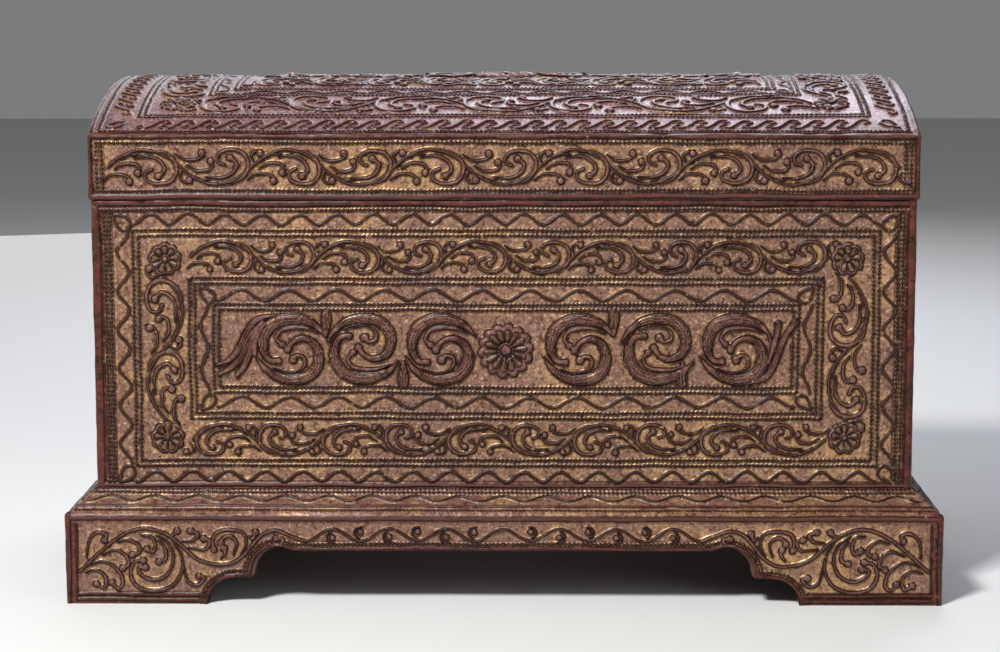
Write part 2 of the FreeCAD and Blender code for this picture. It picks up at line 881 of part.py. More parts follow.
def curl(middle, radius, start, sweep, count, widths, shrink=0.0):
    """Pairs of points each side of an arc or spiral round a middle, its half width going from one to another."""
    for step in range(count + 1):
        share = step / count
        bearing = start + sweep * share
        line = radius * (1 - shrink * share)
        half_width = widths[0] + (widths[1] - widths[0]) * share
        yield polar(middle, line + half_width, bearing), polar(middle, line - half_width, bearing)


def scroll_run(first, pitch, count, side, stand):
    """Scrolls in a row from the rosette outwards, joined by their stem."""
    stem_width = pitch * STEM_SHARE
    leaf_width = pitch * LEAF_SHARE
    raised = []
    for number in range(count):
        middle = FreeCAD.Vector(side * (first + pitch * number), 0, 0)
        sense = side if number % 2 else -side
        start = HALF_TURN if side > 0 else 0
        over = curl(middle, pitch / 2, start, sense * HALF_TURN, STEM_STEPS, (stem_width, stem_width))
        under = curl(middle, pitch / 2, start, -sense * LEAF_TURN, LEAF_STEPS, (stem_width, leaf_width), CURL_SHARE)
        raised += [ribbon(list(over), stand), ribbon(list(under), stand)]
    return raised[0].multiFuse(raised[1:])


def stroke(points, half_width):
    """Pairs of points each side of a line through some points, mitred where it turns."""
    up = FreeCAD.Vector(0, 0, 1)
    runs = [(end - start).normalize() for start, end in zip(points, points[1:])]
    for point, before, after in zip(points, runs[:1] + runs, runs + runs[-1:]):
        across = up.cross(before + after).normalize()
        reach = half_width / up.cross(after).dot(across)
        yield point + across * reach, point - across * reach


# A waving stem keeps to its crest over this share of a bay
CREST_SHARE = 1 / 3


def wave_points(length, bays, sway):
    """Corners of a stem along the X axis, centred, that waves to its left and its right by turns."""
    points = [FreeCAD.Vector(-length / 2, 0, 0)]
    for bay in range(bays):
        for share in (CREST_SHARE, 1 - CREST_SHARE):
            points.append(FreeCAD.Vector((bay + share) * length / bays - length / 2, -sway if bay % 2 else sway, 0))
    points.append(FreeCAD.Vector(length / 2, 0, 0))
    return points


def band_stems(middle, reach, sway, bays, tall):
    """Waving stems along the four sides of a band, drawn in the XY plane.

    The half sizes of the band's middle line, how far each stem reaches and its bays are given along X, then Y.
    A negative sway lets each stem set out towards the middle.
    """
    solids = []
    for heading, way in ((0, 0), (QUARTER_TURN, 1), (HALF_TURN, 0), (-QUARTER_TURN, 1)):
        out = middle[1 - way]
        points = wave_points(reach[way].value * 2, bays[way], sway.value)
        stem = ribbon(list(stroke(points, cell("vine_width").value / 2)), tall.value)
        turned = FreeCAD.Rotation(FreeCAD.Vector(0, 0, 1), heading)
        stem.Placement = FreeCAD.Placement(turned.multVec(FreeCAD.Vector(0, out.value, 0)), turned)
        solids.append(stem)
    return solids


def stand_up(label, solids, distance, height, turn):
    """Stand shapes that are drawn in the XY plane on a side of the chest."""
    thing = doc.addObject("Part::Feature", label)
    thing.Shape = Part.makeCompound(solids)
    upright = FreeCAD.Rotation(FreeCAD.Vector(1, 0, 0), QUARTER_TURN)
    turned = FreeCAD.Rotation(FreeCAD.Vector(0, 0, 1), turn)
    outward = turned.multVec(FreeCAD.Vector(0, -distance.value, height.value))
    thing.Placement = FreeCAD.Placement(outward, turned.multiply(upright))
    return thing


def face_stems(half, bays):
    """Stems of the scroll band that goes round a face, between its corner rosettes."""
    across, up, room = scroll_band(half)
    clear = face_layout["corner_rosette"] + cell("band_gap")
    sway = (room - cell("vine_width")) / 2 - cell("band_gap")
    return band_stems((across, up), (across - clear, up - clear), sway, bays, cell("vine_stand"))


def face_scrollwork(name, half, distance, turn, count, bays):
    """Scrolls each side of the rosette in the middle panel of a face, as large as the panel leaves room for.

    The stems of the band round the panel belong to them.
    """
    *_, (panel_half, panel_high) = frame_sizes(half)
    inset = cell("frame_width").value
    first = face_layout["rosette"].value
    pitch = min(
        (panel_half.value - inset - first) / (count + TAIL_SHARE),
        (panel_high.value - inset) / (1 / 2 + STEM_SHARE + HEADROOM_SHARE))
    solids = face_stems(half, bays)
    for side in (-1, 1):
        run = scroll_run(first + pitch * (1 / 2 + STEM_SHARE), pitch, count, side, cell("scroll_stand").value)
        solids += run.Solids
    piece(stand_up(f"{name}_scrollwork", solids, distance, frame_middle, turn), f"{name}_scrollwork")


# Scrolls each side of the rosette, and bays of the band's stem over the panel and beside it
FACE_SCROLL_COUNTS = {"front": (3, (10, 2)), "back": (3, (10, 2)), "left": (1, (4, 2)), "right": (1, (4, 2))}


def faces():
    """Frames, rosettes and scrolls on all four faces."""
    for name, half, distance, turn in FACES:
        face_frames(f"{name}_frames", half, distance, turn)
        face_rosettes(name, half, distance, turn)
        face_scrollwork(name, half, distance, turn, *FACE_SCROLL_COUNTS[name])


# Ornament on the dome: upright prisms cut to a skin that follows the dome, and flat forms cut to seat on it

dome_skins = {}


def lay_along(cylinder):
    """Lay a cylinder along the lid, on the dome's own axis."""
    return place(cylinder, x=-lid_half_length, z=carcass_top + dome_centre, turn=QUARTER_TURN, axis=(0, 1, 0))


def dome_skin(stand):
    """Everything from the dome's surface to a height above it, made once for each height."""
    if stand.formula in dome_skins:
        return dome_skins[stand.formula]
    skins = []
    for radius in (dome_radius + stand, dome_radius):
        skin = doc.addObject("Part::Cylinder", "dome_skin")
        bind(skin, Radius=radius, Height=lid_half_length * 2)
        skins.append(lay_along(skin))
    shell = doc.addObject("Part::Cut", "dome_shell")
    shell.Base, shell.Tool = skins
    dome_skins[stand.formula] = shell
    return shell


def lifted(label, solids, height):
    """Shapes that are drawn in the XY plane, lifted to a height."""
    thing = doc.addObject("Part::Feature", label)
    thing.Shape = Part.makeCompound(solids)
    thing.Placement = FreeCAD.Placement(FreeCAD.Vector(0, 0, height.value), FreeCAD.Rotation())
    return thing


def on_dome(label, prism, stand):
    """The part of an upright prism that lies in a skin on the dome."""
    laid = doc.addObject("Part::Common", label)
    laid.Base = prism
    laid.Tool = dome_skin(stand)
    return laid


def cut_to_dome(label, ornament):
    """An ornament with its underside cut to the dome."""
    dome = doc.addObject("Part::Cylinder", "dome")
    bind(dome, Radius=dome_radius, Height=lid_half_length * 2)
    seated = doc.addObject("Part::Cut", label)
    seated.Base = ornament
    seated.Tool = lay_along(dome)
    return seated


def dome_frames():
    """Three nested frames that follow the dome, and the stems of the scroll band between the outer two."""
    prism = body("dome_frame_prism")
    plan = sketch(prism, "XY_Plane")
    wide = lid_half_length - cell("dome_frame_end")
    deep = lid_half_depth - cell("dome_frame_side")
    second = cell("dome_scroll_band")
    for step in (as_size(0), second, second + cell("dome_wave_band")):
        for inset in (step, step + cell("frame_width")):
            rectangle(plan, wide - inset, inset - deep, deep - inset)
    pad(prism, plan, dome_rise * 2)
    place(prism, z=lid_spring)
    frames = on_dome("dome_frames", prism, cell("dome_frame_stand"))
    stems = on_dome("dome_stems", lifted("stem_prisms", dome_stems(), lid_spring), cell("vine_stand"))
    group = doc.addObject("Part::Compound", "lid_frames")
    group.Links = [frames, stems]
    piece(group, "lid_frames")


# Bays of the stem of the dome's scroll band along the lid, and across it
DOME_BAY_COUNTS = (9, 4)


def dome_band():
    """Half length and half depth of the middle line of the dome's scroll band."""
    middle = (cell("frame_width") + cell("dome_scroll_band")) / 2
    return (
        lid_half_length - cell("dome_frame_end") - middle,
        lid_half_depth - cell("dome_frame_side") - middle)


def dome_stems():
    """Stems of the dome's scroll band, between its corner rosettes."""
    clear = cell("dome_rosette_radius") + cell("band_gap")
    reach = [out - clear for out in dome_corner()]
    sway = (cell("dome_scroll_band") - cell("frame_width") - cell("vine_width")) / 2 - cell("band_gap")
    return band_stems(dome_band(), reach, -sway, DOME_BAY_COUNTS, dome_rise * 2)


def dome_corner():
    """How far out along the lid and across it the dome's corner rosettes are."""
    edge = cell("frame_width") + cell("dome_rosette_gap") + cell("dome_rosette_radius")
    _, up = dome_band()
    return lid_half_length - cell("dome_frame_end") - edge, up


def crown_scrolls():
    """A scroll each side of the crown's flower, along the lid."""
    pitch = cell("crown_scroll_pitch").value
    first = cell("crown_radius").value + pitch * (1 / 2 + STEM_SHARE)
    solids = []
    for side in (-1, 1):
        solids += scroll_run(first, pitch, 1, side, (cell("crown_scroll_stand") + cell("crown_seat")).value).Solids
    return cut_to_dome("crown_scrolls", lifted("scrolls", solids, lid_spring + dome_rise - cell("crown_seat")))


def crown_rosette():
    """Flower on top of the dome, and a scroll each side of it."""
    flower = rosette_body(
        "crown_flower", cell("crown_radius"), cell("rosette_petals"), cell("crown_stand") + cell("crown_seat"),
        cell("crown_boss_radius"), cell("crown_boss_stand") + cell("crown_seat"), "XY_Plane")
    place(flower, z=lid_spring + dome_rise - cell("crown_seat"))
    group = doc.addObject("Part::Compound", "lid_crown_rosette")
    group.Links = [cut_to_dome("crown_rosette", flower), crown_scrolls()]
    piece(group, "lid_crown_rosette")


def dome_corner_rosettes():
    """Four small rosettes square to the dome, in the corners between its first two frames."""
    corners = []
    seat = cell("dome_rosette_seat")
    out, up = dome_corner()
    tilt = math.degrees(math.asin(up.value / dome_radius.value))
    seat_radius = dome_radius - seat
    for x in (-1, 1):
        for y in (-1, 1):
            flower = rosette_body(
                "corner_flower", cell("dome_rosette_radius"), cell("corner_rosette_petals"),
                cell("corner_rosette_stand") + seat, cell("corner_boss_radius"), cell("corner_boss_stand") + seat,
                "XY_Plane")
            place(
                flower, out * x, up * seat_radius / dome_radius * y,
                carcass_top + dome_centre + seat_radius * cosine(as_size(tilt)), turn=-tilt * y, axis=(1, 0, 0))
            corners.append(cut_to_dome("corner", flower))
    group = doc.addObject("Part::Compound", "lid_corner_rosettes")
    group.Links = corners
    piece(group, "lid_corner_rosettes")


def dome_ornament():
    """Frames, stems, crown and corner rosettes of the dome."""
    dome_frames()
    crown_rosette()
    dome_corner_rosettes()


def check_and_export():
    """Make sure that every object is sound, then write each sub-part to its own file."""
    doc.recompute()
    for thing in doc.Objects:
        if "Invalid" in thing.State or "Error" in thing.State:
            raise RuntimeError(f"{thing.Label}: {thing.State}")
    for thing in pieces:
        if thing.Shape.isNull() or not thing.Shape.isValid() or not thing.Shape.Solids:
            raise RuntimeError(f"{thing.Label}: no sound solid")
    os.makedirs("parts", exist_ok=True)
    for thing in pieces:
        thing.Shape.exportStep(f"parts/{thing.Label}.step")
        print(f"{thing.Label}: {len(thing.Shape.Solids)} solids, {thing.Shape.Volume / 1000:.1f} cm3")


carcass()
lip_strips()
plinth()
lid()
rolls()
faces()
dome_ornament()
check_and_export()
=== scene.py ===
import json
import math

import bpy
import numpy as np
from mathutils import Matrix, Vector


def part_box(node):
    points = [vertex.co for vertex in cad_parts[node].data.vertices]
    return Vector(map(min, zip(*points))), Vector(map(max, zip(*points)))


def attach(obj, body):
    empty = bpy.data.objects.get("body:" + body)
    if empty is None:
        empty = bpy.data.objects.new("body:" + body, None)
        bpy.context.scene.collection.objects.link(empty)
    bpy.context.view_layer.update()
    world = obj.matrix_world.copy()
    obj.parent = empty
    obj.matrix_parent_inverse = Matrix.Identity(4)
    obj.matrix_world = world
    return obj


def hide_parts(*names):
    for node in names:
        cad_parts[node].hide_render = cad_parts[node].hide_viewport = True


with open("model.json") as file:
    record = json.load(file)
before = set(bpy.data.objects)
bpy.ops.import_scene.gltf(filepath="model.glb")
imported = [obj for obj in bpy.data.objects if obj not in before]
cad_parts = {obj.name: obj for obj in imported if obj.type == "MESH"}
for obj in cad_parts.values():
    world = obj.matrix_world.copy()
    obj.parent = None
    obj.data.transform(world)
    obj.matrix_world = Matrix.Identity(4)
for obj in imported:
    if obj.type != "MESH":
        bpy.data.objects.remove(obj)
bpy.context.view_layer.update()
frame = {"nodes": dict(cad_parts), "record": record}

# Lengths are millimetres until a mesh is made from them
MM = 0.001
# Spacing of the points on the front, on the hidden sides, on the dome and on the plinth's front
FINE, PLAIN, DOME_FINE, PLINTH_FINE = ((0.66, 0.95, 0.80, 0.76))
SEED = 11


def span(node):
    """Lowest and highest corner of a CAD node, in millimetres."""
    low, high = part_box(node)
    return np.array(low) / MM, np.array(high) / MM


# Sizes taken from the frame
half_length = span("carcass_front_board")[1][0]
half_depth = span("carcass_left_end_board")[1][1]
carcass_base, carcass_top = span("carcass_front_board")[0][2], span("carcass_front_board")[1][2]
lid_half_length = span("lid_stave_4")[1][0]
lid_half_depth = span("lid_left_end")[1][1]
lid_spring = span("lid_front_rail")[1][2]
lid_crown = span("lid_stave_4")[1][2]
plinth_half_length = span("plinth_front_board")[1][0]
plinth_half_depth = span("plinth_left_board")[1][1]
plinth_top = span("plinth_front_board")[1][2]
slope_top = span("plinth_front_cap")[1][2]
frame_middle = sum(corner[2] for corner in span("front_frames")) / 2
dome_rise = lid_crown - lid_spring
dome_radius = (lid_half_depth ** 2 + dome_rise ** 2) / (2 * dome_rise)
dome_centre = lid_crown - dome_radius

# Lacquer: thickness of the ground, radius of the worn corners, gap under the lid, depth sunk in the wood
GROUND = 0.35
CORNER = 2.5
SEAM = 0.5
SUNK = 0.9

# Relief: half widths and heights of what is laid on the ground
THREAD, THREAD_STAND = 1.3, 1.4
LEAF, LEAF_STAND = 1.25, 1.8
BEAD_PITCH, BEAD, BEAD_STAND = 2.9, 1.25, 1.4
BALL, BALL_STAND = 2.7, 2.3
ROLL, ROLL_STAND = 2.3, 1.25
BIG_STAND = 3.1
GROOVE_SHARES = (-0.52, 0.0, 0.50)

# Drift of the hand, reach of a ridge's shading beyond its edge, length of a straight ridge's pieces
WOBBLE = 0.55
MARGIN = 1.3
STRAIGHT_STEP = 24.0


# Noise

def noise(x, y, size, seed):
    """Smooth noise from -1 to 1 whose bumps are about that many millimetres wide."""
    rng = np.random.default_rng(seed)
    columns = int(math.ceil((x.max() - x.min()) / size)) + 2
    rows = int(math.ceil((y.max() - y.min()) / size)) + 2
    values = rng.uniform(-1, 1, (rows, columns))
    u = (x - x.min()) / size
    v = (y - y.min()) / size
    i, j = v.astype(int), u.astype(int)
    a, b = v - i, u - j
    a, b = a * a * (3 - 2 * a), b * b * (3 - 2 * b)
    low = values[i, j] * (1 - b) + values[i, j + 1] * b
    high = values[i + 1, j] * (1 - b) + values[i + 1, j + 1] * b
    return low * (1 - a) + high * a


def blurred(values, size):
    """Box blur of a grid by a number of points each way."""
    count = 2 * size + 1
    for _ in range(2):
        total = np.cumsum(np.pad(values, ((size + 1, size), (0, 0)), mode="edge"), axis=0)
        values = ((total[count:] - total[:-count]) / count).T
    return values


# Cross-sections of ridges, from the share of the half width, the way along and the half width.
# Each gives the height, and how far in millimetres a point lies inside the dark crest.

def thread(share, run, width):
    """Plain hand-rolled thread."""
    return np.clip(1 - share ** 2, 0, 1) ** 0.8, (0.80 - np.abs(share)) * width


def beads(share, run, width):
    """Row of round beads on a thin line."""
    along = run % BEAD_PITCH - BEAD_PITCH / 2
    away = np.abs(share) * width
    apart = np.hypot(along, away)
    ball = np.sqrt(np.clip(1 - (apart / (0.46 * BEAD_PITCH)) ** 2, 0, 1))
    line = 0.4 * np.clip(1 - share ** 2, 0, 1)
    return np.maximum(ball, line), np.maximum(0.42 * BEAD_PITCH - apart, 0.45 - away)


def grooved(share, run, width):
    """Broad rounded band with grooves along it."""
    rim = np.clip(1 - np.abs(share) ** 2.6, 0, 1) ** 0.6
    inside = (0.97 - np.abs(share)) * width
    for place in GROOVE_SHARES:
        groove = np.exp(-((share - place) * width / 0.8) ** 2) * np.clip(width / 1.6 - 1, 0, 1)
        rim = rim - 0.17 * groove * (np.abs(share) < 1)
        inside = np.minimum(inside, 2.6 - 3.0 * groove)
    return rim, inside


class Relief:
    """Lacquer relief drawn on a grid of points: x along the sheet and y up it, in millimetres."""

    def __init__(self, x, y, seed):
        self.x = x
        self.y = y
        drift = []
        for k in (3, 4):
            drift.append(WOBBLE * noise(x, y, 31, seed + k) + 0.4 * WOBBLE * noise(x, y, 8, seed + k + 2))
        self.points = (x + drift[0] + 1j * (y + drift[1])).ravel()
        self.height = np.zeros(x.size)
        self.crest = np.full(x.size, -3.0)
        self.red = np.zeros(x.size)
        self.seed = seed

    def near(self, corners, reach):
        """Numbers of the grid points within reach of some points."""
        real, imag = self.points.real, self.points.imag
        inside = (real > corners.real.min() - reach) & (real < corners.real.max() + reach)
        inside &= (imag > corners.imag.min() - reach) & (imag < corners.imag.max() + reach)
        return np.flatnonzero(inside)

    def raise_to(self, spots, lift, crest, red=0.0):
        """Lift points to a height where they are lower."""
        higher = lift > self.height[spots]
        self.red[spots] = np.where(higher, red, self.red[spots])
        self.height[spots] = np.maximum(self.height[spots], lift)
        self.crest[spots] = np.maximum(self.crest[spots], crest)

    def ridge(self, path, half_width, stand, section=thread, red=0.0):
        """Lay a ridge along a path."""
        path = np.asarray(path, complex)
        widths = np.broadcast_to(np.asarray(half_width, float), path.shape)
        starts = np.concatenate([[0], np.cumsum(np.abs(np.diff(path)))])
        chunk = 14
        for first in range(0, len(path) - 1, chunk):
            part = slice(first, first + chunk + 1)
            self._lay(path[part], widths[part], starts[part], stand, section, red)

    def _lay(self, path, widths, starts, stand, section, red):
        """Lay a few pieces of a ridge."""
        spots = self.near(path, widths.max() + MARGIN)
        if not spots.size:
            return
        step = np.diff(path)
        length = np.abs(step)
        gap = self.points[spots][:, None] - path[:-1]
        along = np.clip((gap * step.conj()).real / length ** 2, 0, 1)
        away = gap - along * step
        width = widths[:-1] + along * np.diff(widths)
        depth = width - np.abs(away)
        best = depth.argmax(axis=1)
        rows = np.flatnonzero(depth[np.arange(len(spots)), best] > -MARGIN)
        best = best[rows]
        width = width[rows, best]
        side = np.sign((away[rows, best] * step[best].conj()).imag)
        share = side * np.abs(away[rows, best]) / width
        run = starts[:-1][best] + along[rows, best] * length[best]
        lift, crest = section(share, run, width)
        self.raise_to(spots[rows], lift * stand, crest, red)

    def line(self, start, end, half_width=BEAD, stand=BEAD_STAND, section=beads, red=0.0):
        """Lay a straight ridge, a row of beads unless something else is asked for."""
        count = max(int(abs(end - start) / STRAIGHT_STEP), 1) + 1
        self.ridge(np.linspace(start, end, count), half_width, stand, section, red)

    def across(self, reach, y, *form):
        """Lay a level ridge that reaches as far to the left as to the right."""
        self.line(complex(-reach, y), complex(reach, y), *form)

    def upright(self, x, low, high, *form):
        """Lay an upright ridge."""
        self.line(complex(x, low), complex(x, high), *form)

    def curve(self, points, widths, scale, stand, section=thread, red=0.0, steps=5):
        """Lay a smooth ridge through some points, its half widths spread evenly along it."""
        path = smooth(points, steps)
        self.ridge(path, widths_along(widths, len(path)) * scale, stand, section, red)

    def ball(self, middle, radius=BALL, stand=BALL_STAND):
        """Lay a round ball."""
        spots = self.near(np.array([middle]), radius + MARGIN)
        away = np.abs(self.points[spots] - middle)
        self.raise_to(spots, stand * np.sqrt(np.clip(1 - (away / radius) ** 2, 0, 1)), radius - away)

    def rosette(self, middle, radius, petals, stand):
        """Lay a flower: scalloped petals with a tongue in each, round a boss in a moat."""
        spots = self.near(np.array([middle]), radius + MARGIN)
        offset = self.points[spots] - middle
        distance = np.abs(offset) / radius
        turn = (np.angle(offset) * petals / (2 * math.pi) + 0.25) % 1.0
        across = np.abs(turn - 0.5) * 2
        rim = 1.0 - 0.13 * across ** 2.2
        inside = distance < rim
        petal = np.sqrt(np.clip(1 - across ** 2, 0, 1)) ** 0.8
        outer = np.clip((rim - distance) / 0.16, 0, 1) ** 0.5
        bowl = np.clip((distance - 0.22) / 0.5, 0, 1)
        tongue = np.exp(-((across / 0.42) ** 4)) * np.clip((0.74 - distance) / 0.08, 0, 1) ** 0.5
        trench = np.exp(-(((across - 0.55) / 0.2) ** 2)) * (distance < 0.78)
        lift = outer * (0.35 + 0.55 * petal * (0.45 + 0.55 * bowl)) + 0.12 * tongue - 0.16 * trench
        moat = np.exp(-(((distance - 0.27) / 0.06) ** 2))
        lift = lift - 0.3 * moat
        boss = np.sqrt(np.clip(1 - (distance / 0.215) ** 2, 0, 1)) ** 0.5
        lift = np.maximum(lift, boss)
        edge = (rim - distance) * radius
        scallop = np.minimum(edge, 0.26 * radius - edge)
        spoke = np.minimum(0.85 - (1 - across) * distance * radius * math.pi / petals, edge)
        spoke = np.minimum(spoke, (distance - 0.26) * radius)
        crest = np.maximum(np.maximum(scallop, spoke), (0.2 - distance) * radius)
        crest = np.where(inside, np.maximum(crest, 0.0), crest)
        self.raise_to(spots, np.where(inside, lift * stand, 0), crest)

    def stain(self, place, red):
        """Lay red lacquer on part of the ground, before the ridges."""
        self.red[place.ravel()] = red

    def finish(self):
        """Age the relief by hand-made unevenness, and hand back its grids."""
        shape = self.x.shape
        relief = self.height.reshape(shape)
        height = relief * (1 + 0.16 * noise(self.x, self.y, 9, self.seed))
        swell = 0.14 * noise(self.x, self.y, 23, self.seed + 1)
        height += swell + 0.08 * noise(self.x, self.y, 4, self.seed + 2)
        step = abs(self.x[0, 1] - self.x[0, 0])
        low = np.minimum(relief, LEAF_STAND)
        wide = blurred(blurred(low, max(int(round(2.0 / step)), 1)), max(int(round(1.4 / step)), 1))
        tight = blurred(low, max(int(round(1.0 / step)), 1))
        return height, self.crest.reshape(shape), wide, tight - low, self.red.reshape(shape)


# Curves

def smooth(points, steps):
    """Even curve through some points."""
    points = np.asarray(points, complex)
    padded = np.concatenate([[2 * points[0] - points[1]], points, [2 * points[-1] - points[-2]]])
    t = np.linspace(0, 1, steps, endpoint=False)
    curve = []
    for a, b, c, d in zip(padded, padded[1:], padded[2:], padded[3:]):
        curve.append(b + 0.5 * t * (c - a + t * (2 * a - 5 * b + 4 * c - d + t * (3 * (b - c) + d - a))))
    return np.concatenate(curve + [points[-1:]])


def widths_along(shares, count):
    """Spread a few half widths evenly over a number of points."""
    return np.interp(np.linspace(0, 1, count), np.linspace(0, 1, len(shares)), shares)


def spiral(radius, start, end, shrink):
    """Arc whose radius shrinks to a share of what it was."""
    t = np.linspace(0, 1, 10)
    angle = np.radians(start + (end - start) * t)
    return radius * (1 - (1 - shrink) * t ** 1.2) * (np.cos(angle) + 1j * np.sin(angle))


class Strip:
    """A straight strip of the sheet: along it from its start, and across it from its middle line."""

    def __init__(self, start, end, flip=1):
        self.start = start
        self.length = abs(end - start)
        self.direction = (end - start) / self.length
        self.flip = flip

    def at(self, place):
        """Points of the sheet at some places of the strip."""
        place = np.asarray(place, complex)
        return self.start + self.direction * (place.real + 1j * self.flip * place.imag)


# Ornaments

def frame_lines(relief, half_x, half_y, middle):
    """Two beaded lines that follow a rectangle, one inside the other."""
    for inset in (0.0, 3.7):
        x, y = half_x - inset, half_y - inset
        corners = [complex(-x, -y), complex(x, -y), complex(x, y), complex(-x, y), complex(-x, -y)]
        for start, end in zip(corners, corners[1:]):
            relief.line(start + middle, end + middle)


def wave(relief, start, end, count, amplitude, half_width=THREAD):
    """Plain wavy thread."""
    strip = Strip(start, end)
    t = np.linspace(0, 1, count * 12 + 1)
    sway = amplitude * np.sin(2 * math.pi * count * t - math.pi / 2)
    relief.ridge(strip.at(strip.length * t + 1j * sway), half_width, THREAD_STAND)


def loop(relief, middle, heading, long=6.6, short=5.6):
    """Teardrop loop whose tip points to a corner."""
    angle = np.linspace(0, 2 * math.pi, 25)
    turn = np.exp(1j * math.radians(heading))
    outline = long * np.cos(angle) + 1j * short * np.sin(angle) * np.sin(angle / 2)
    relief.ridge(middle + turn * outline, THREAD, THREAD_STAND)


# Upper half of one S of the small running scroll, in shares of its pitch and of half the band's height
S_HALF_SHARES = (0.0, 0.15 + 0.50j, 0.34 + 0.90j, 0.60 + 0.86j, 0.68 + 0.46j, 0.50 + 0.22j)


def running_scroll(relief, start, end, count, height):
    """Small running scroll: a chain of thick letters S, each hooked over the next."""
    strip = Strip(start, end)
    pitch = strip.length / count
    reach = height / 2 - THREAD
    half = np.asarray(S_HALF_SHARES)
    shares = np.concatenate([-half[:0:-1], half])
    for number in range(count):
        points = strip.at((number + 0.5) * pitch + shares.real * pitch + 1j * shares.imag * reach)
        relief.curve(points, (0.8, 1.0, 1.5, 1.0, 0.8), THREAD, THREAD_STAND * 1.15, red=0.4, steps=4)


# One bay of the large scroll band, in shares of the bay's length and of half the band's height
BAY_STEM_SHARE = 0.95
BAY_LEAF_SHARES = (
    ((0.04 + 0.80j, 0.28 + 0.76j, 0.42 + 0.32j, 0.45 - 0.28j, 0.36 - 0.76j, 0.18 - 0.86j, 0.04 - 0.64j,
      0.03 - 0.26j, 0.12 - 0.10j), (0.7, 1.0, 1.4, 1.5, 1.4, 1.3, 1.2, 1.1, 1.2)),
    ((-0.13 + 0.52j, 0.07 + 0.56j, 0.23 + 0.32j, 0.29 - 0.12j, 0.22 - 0.42j), (0.6, 1.1, 1.3, 1.3, 1.4)),
    ((-0.40 - 0.08j, -0.27 + 0.20j, -0.10 + 0.16j, -0.04 - 0.10j), (0.6, 1.1, 1.2, 1.0)),
    ((-0.56 - 0.66j, -0.44 - 0.36j, -0.27 - 0.38j, -0.17 - 0.60j), (0.6, 1.0, 1.1, 1.0)),
    ((0.53 - 0.26j, 0.50 - 0.62j, 0.57 - 0.84j), (0.6, 1.0, 1.0)),
    ((-0.30 + 0.46j, -0.20 + 0.66j, -0.08 + 0.64j), (0.5, 0.9, 0.7)),
)
BAY_BALL_SHARES = (0.20 - 0.45j, -0.075 - 0.28j, -0.20 - 0.72j, 0.625 - 0.72j)


def scroll_bay(relief, strip, middle, length, height, side):
    """Leaves that curl under the stem, with the balls at their ends."""
    half = height / 2 - 0.6

    def put(share):
        share = np.asarray(share, complex)
        return strip.at(middle + share.real * length + 1j * side * share.imag * half)

    thick = min(half / 11.5, 1.25)
    for shares, widths in BAY_LEAF_SHARES:
        relief.curve(put(shares), widths, LEAF * thick, LEAF_STAND)
    for share in BAY_BALL_SHARES:
        relief.ball(put(share), BALL * 0.9 * thick, BALL_STAND)


def scroll_band(relief, start, end, bays, height, flip=1, first=1):
    """Large running scroll between two edges."""
    strip = Strip(start, end, flip)
    length = strip.length / bays
    reach = height / 2 * BAY_STEM_SHARE - LEAF
    t = np.linspace(0, bays, bays * 12 + 1)
    stem = np.sin(math.pi * t)
    stem = np.sign(stem) * np.abs(stem) ** 0.85
    relief.ridge(strip.at(length * t + 1j * first * reach * stem), LEAF * 1.1, LEAF_STAND)
    for number in range(bays):
        side = first if number % 2 == 0 else -first
        scroll_bay(relief, strip, (number + 0.5) * length, length, height, side)


# The large acanthus scroll of a middle panel, in shares of its radius: points, and half widths along them
BIG_SCROLL_SHARES = (
    ((1.06 + 0.36j, 0.73 + 0.70j, 0.27 + 0.87j, -0.20 + 0.86j, -0.59 + 0.65j, -0.78 + 0.29j, -0.76 - 0.10j,
      -0.60 - 0.34j, -0.36 - 0.37j), (0.03, 0.13, 0.19, 0.20, 0.20, 0.18, 0.14, 0.10, 0.09)),
    ((-1.00 - 0.20j, -0.76 - 0.55j, -0.41 - 0.80j, 0.07 - 0.90j, 0.53 - 0.80j, 0.79 - 0.50j, 0.83 - 0.14j,
      0.68 + 0.17j, 0.38 + 0.30j, 0.08 + 0.21j, -0.10 - 0.03j),
     (0.03, 0.10, 0.15, 0.18, 0.19, 0.19, 0.17, 0.14, 0.12, 0.09, 0.10)),
)
SMALL_CURL_SHARES = (
    ((0.82 + 0.46j, 0.46 + 0.60j, 0.08 + 0.62j, -0.27 + 0.53j, -0.40 + 0.30j, -0.25 + 0.12j),
     (0.03, 0.08, 0.10, 0.09, 0.08, 0.09)),
    ((0.20 - 0.66j, 0.40 - 0.50j, 0.40 - 0.27j, 0.20 - 0.20j, 0.07 - 0.32j), (0.04, 0.08, 0.09, 0.09, 0.11)),
    ((-0.52 - 0.56j, -0.20 - 0.68j, 0.10 - 0.68j, 0.30 - 0.60j), (0.03, 0.05, 0.05, 0.03)),
)


def big_scroll(relief, middle, radius, flip=1, mirror=1):
    """Acanthus scroll of two crescents with small curls between them."""
    def put(share):
        share = np.asarray(share, complex)
        return middle + radius * (share.real * mirror + 1j * flip * share.imag)

    hand = flip * mirror

    def section(share, run, width):
        return grooved(share * hand, run, width)

    groups = ((BIG_SCROLL_SHARES, BIG_STAND, section), (SMALL_CURL_SHARES, BIG_STAND * 0.8, thread))
    for group, stand, form in groups:
        for shares, widths in group:
            relief.curve(put(shares), widths, radius, stand, form, steps=9)
            relief.ball(put(shares[-1]), widths[-1] * radius * 1.3, stand * 0.9)


def bud(relief, middle, length, width, heading=90):
    """Round-headed bud between two scrolls."""
    turn = np.exp(1j * math.radians(heading))
    path = middle + turn * np.linspace(-length / 2, length / 2, 9)
    shares = widths_along((0.30, 0.60, 0.85, 1.0, 0.95), 9)
    relief.ridge(path, shares * width / 2, BIG_STAND * 0.75, grooved)


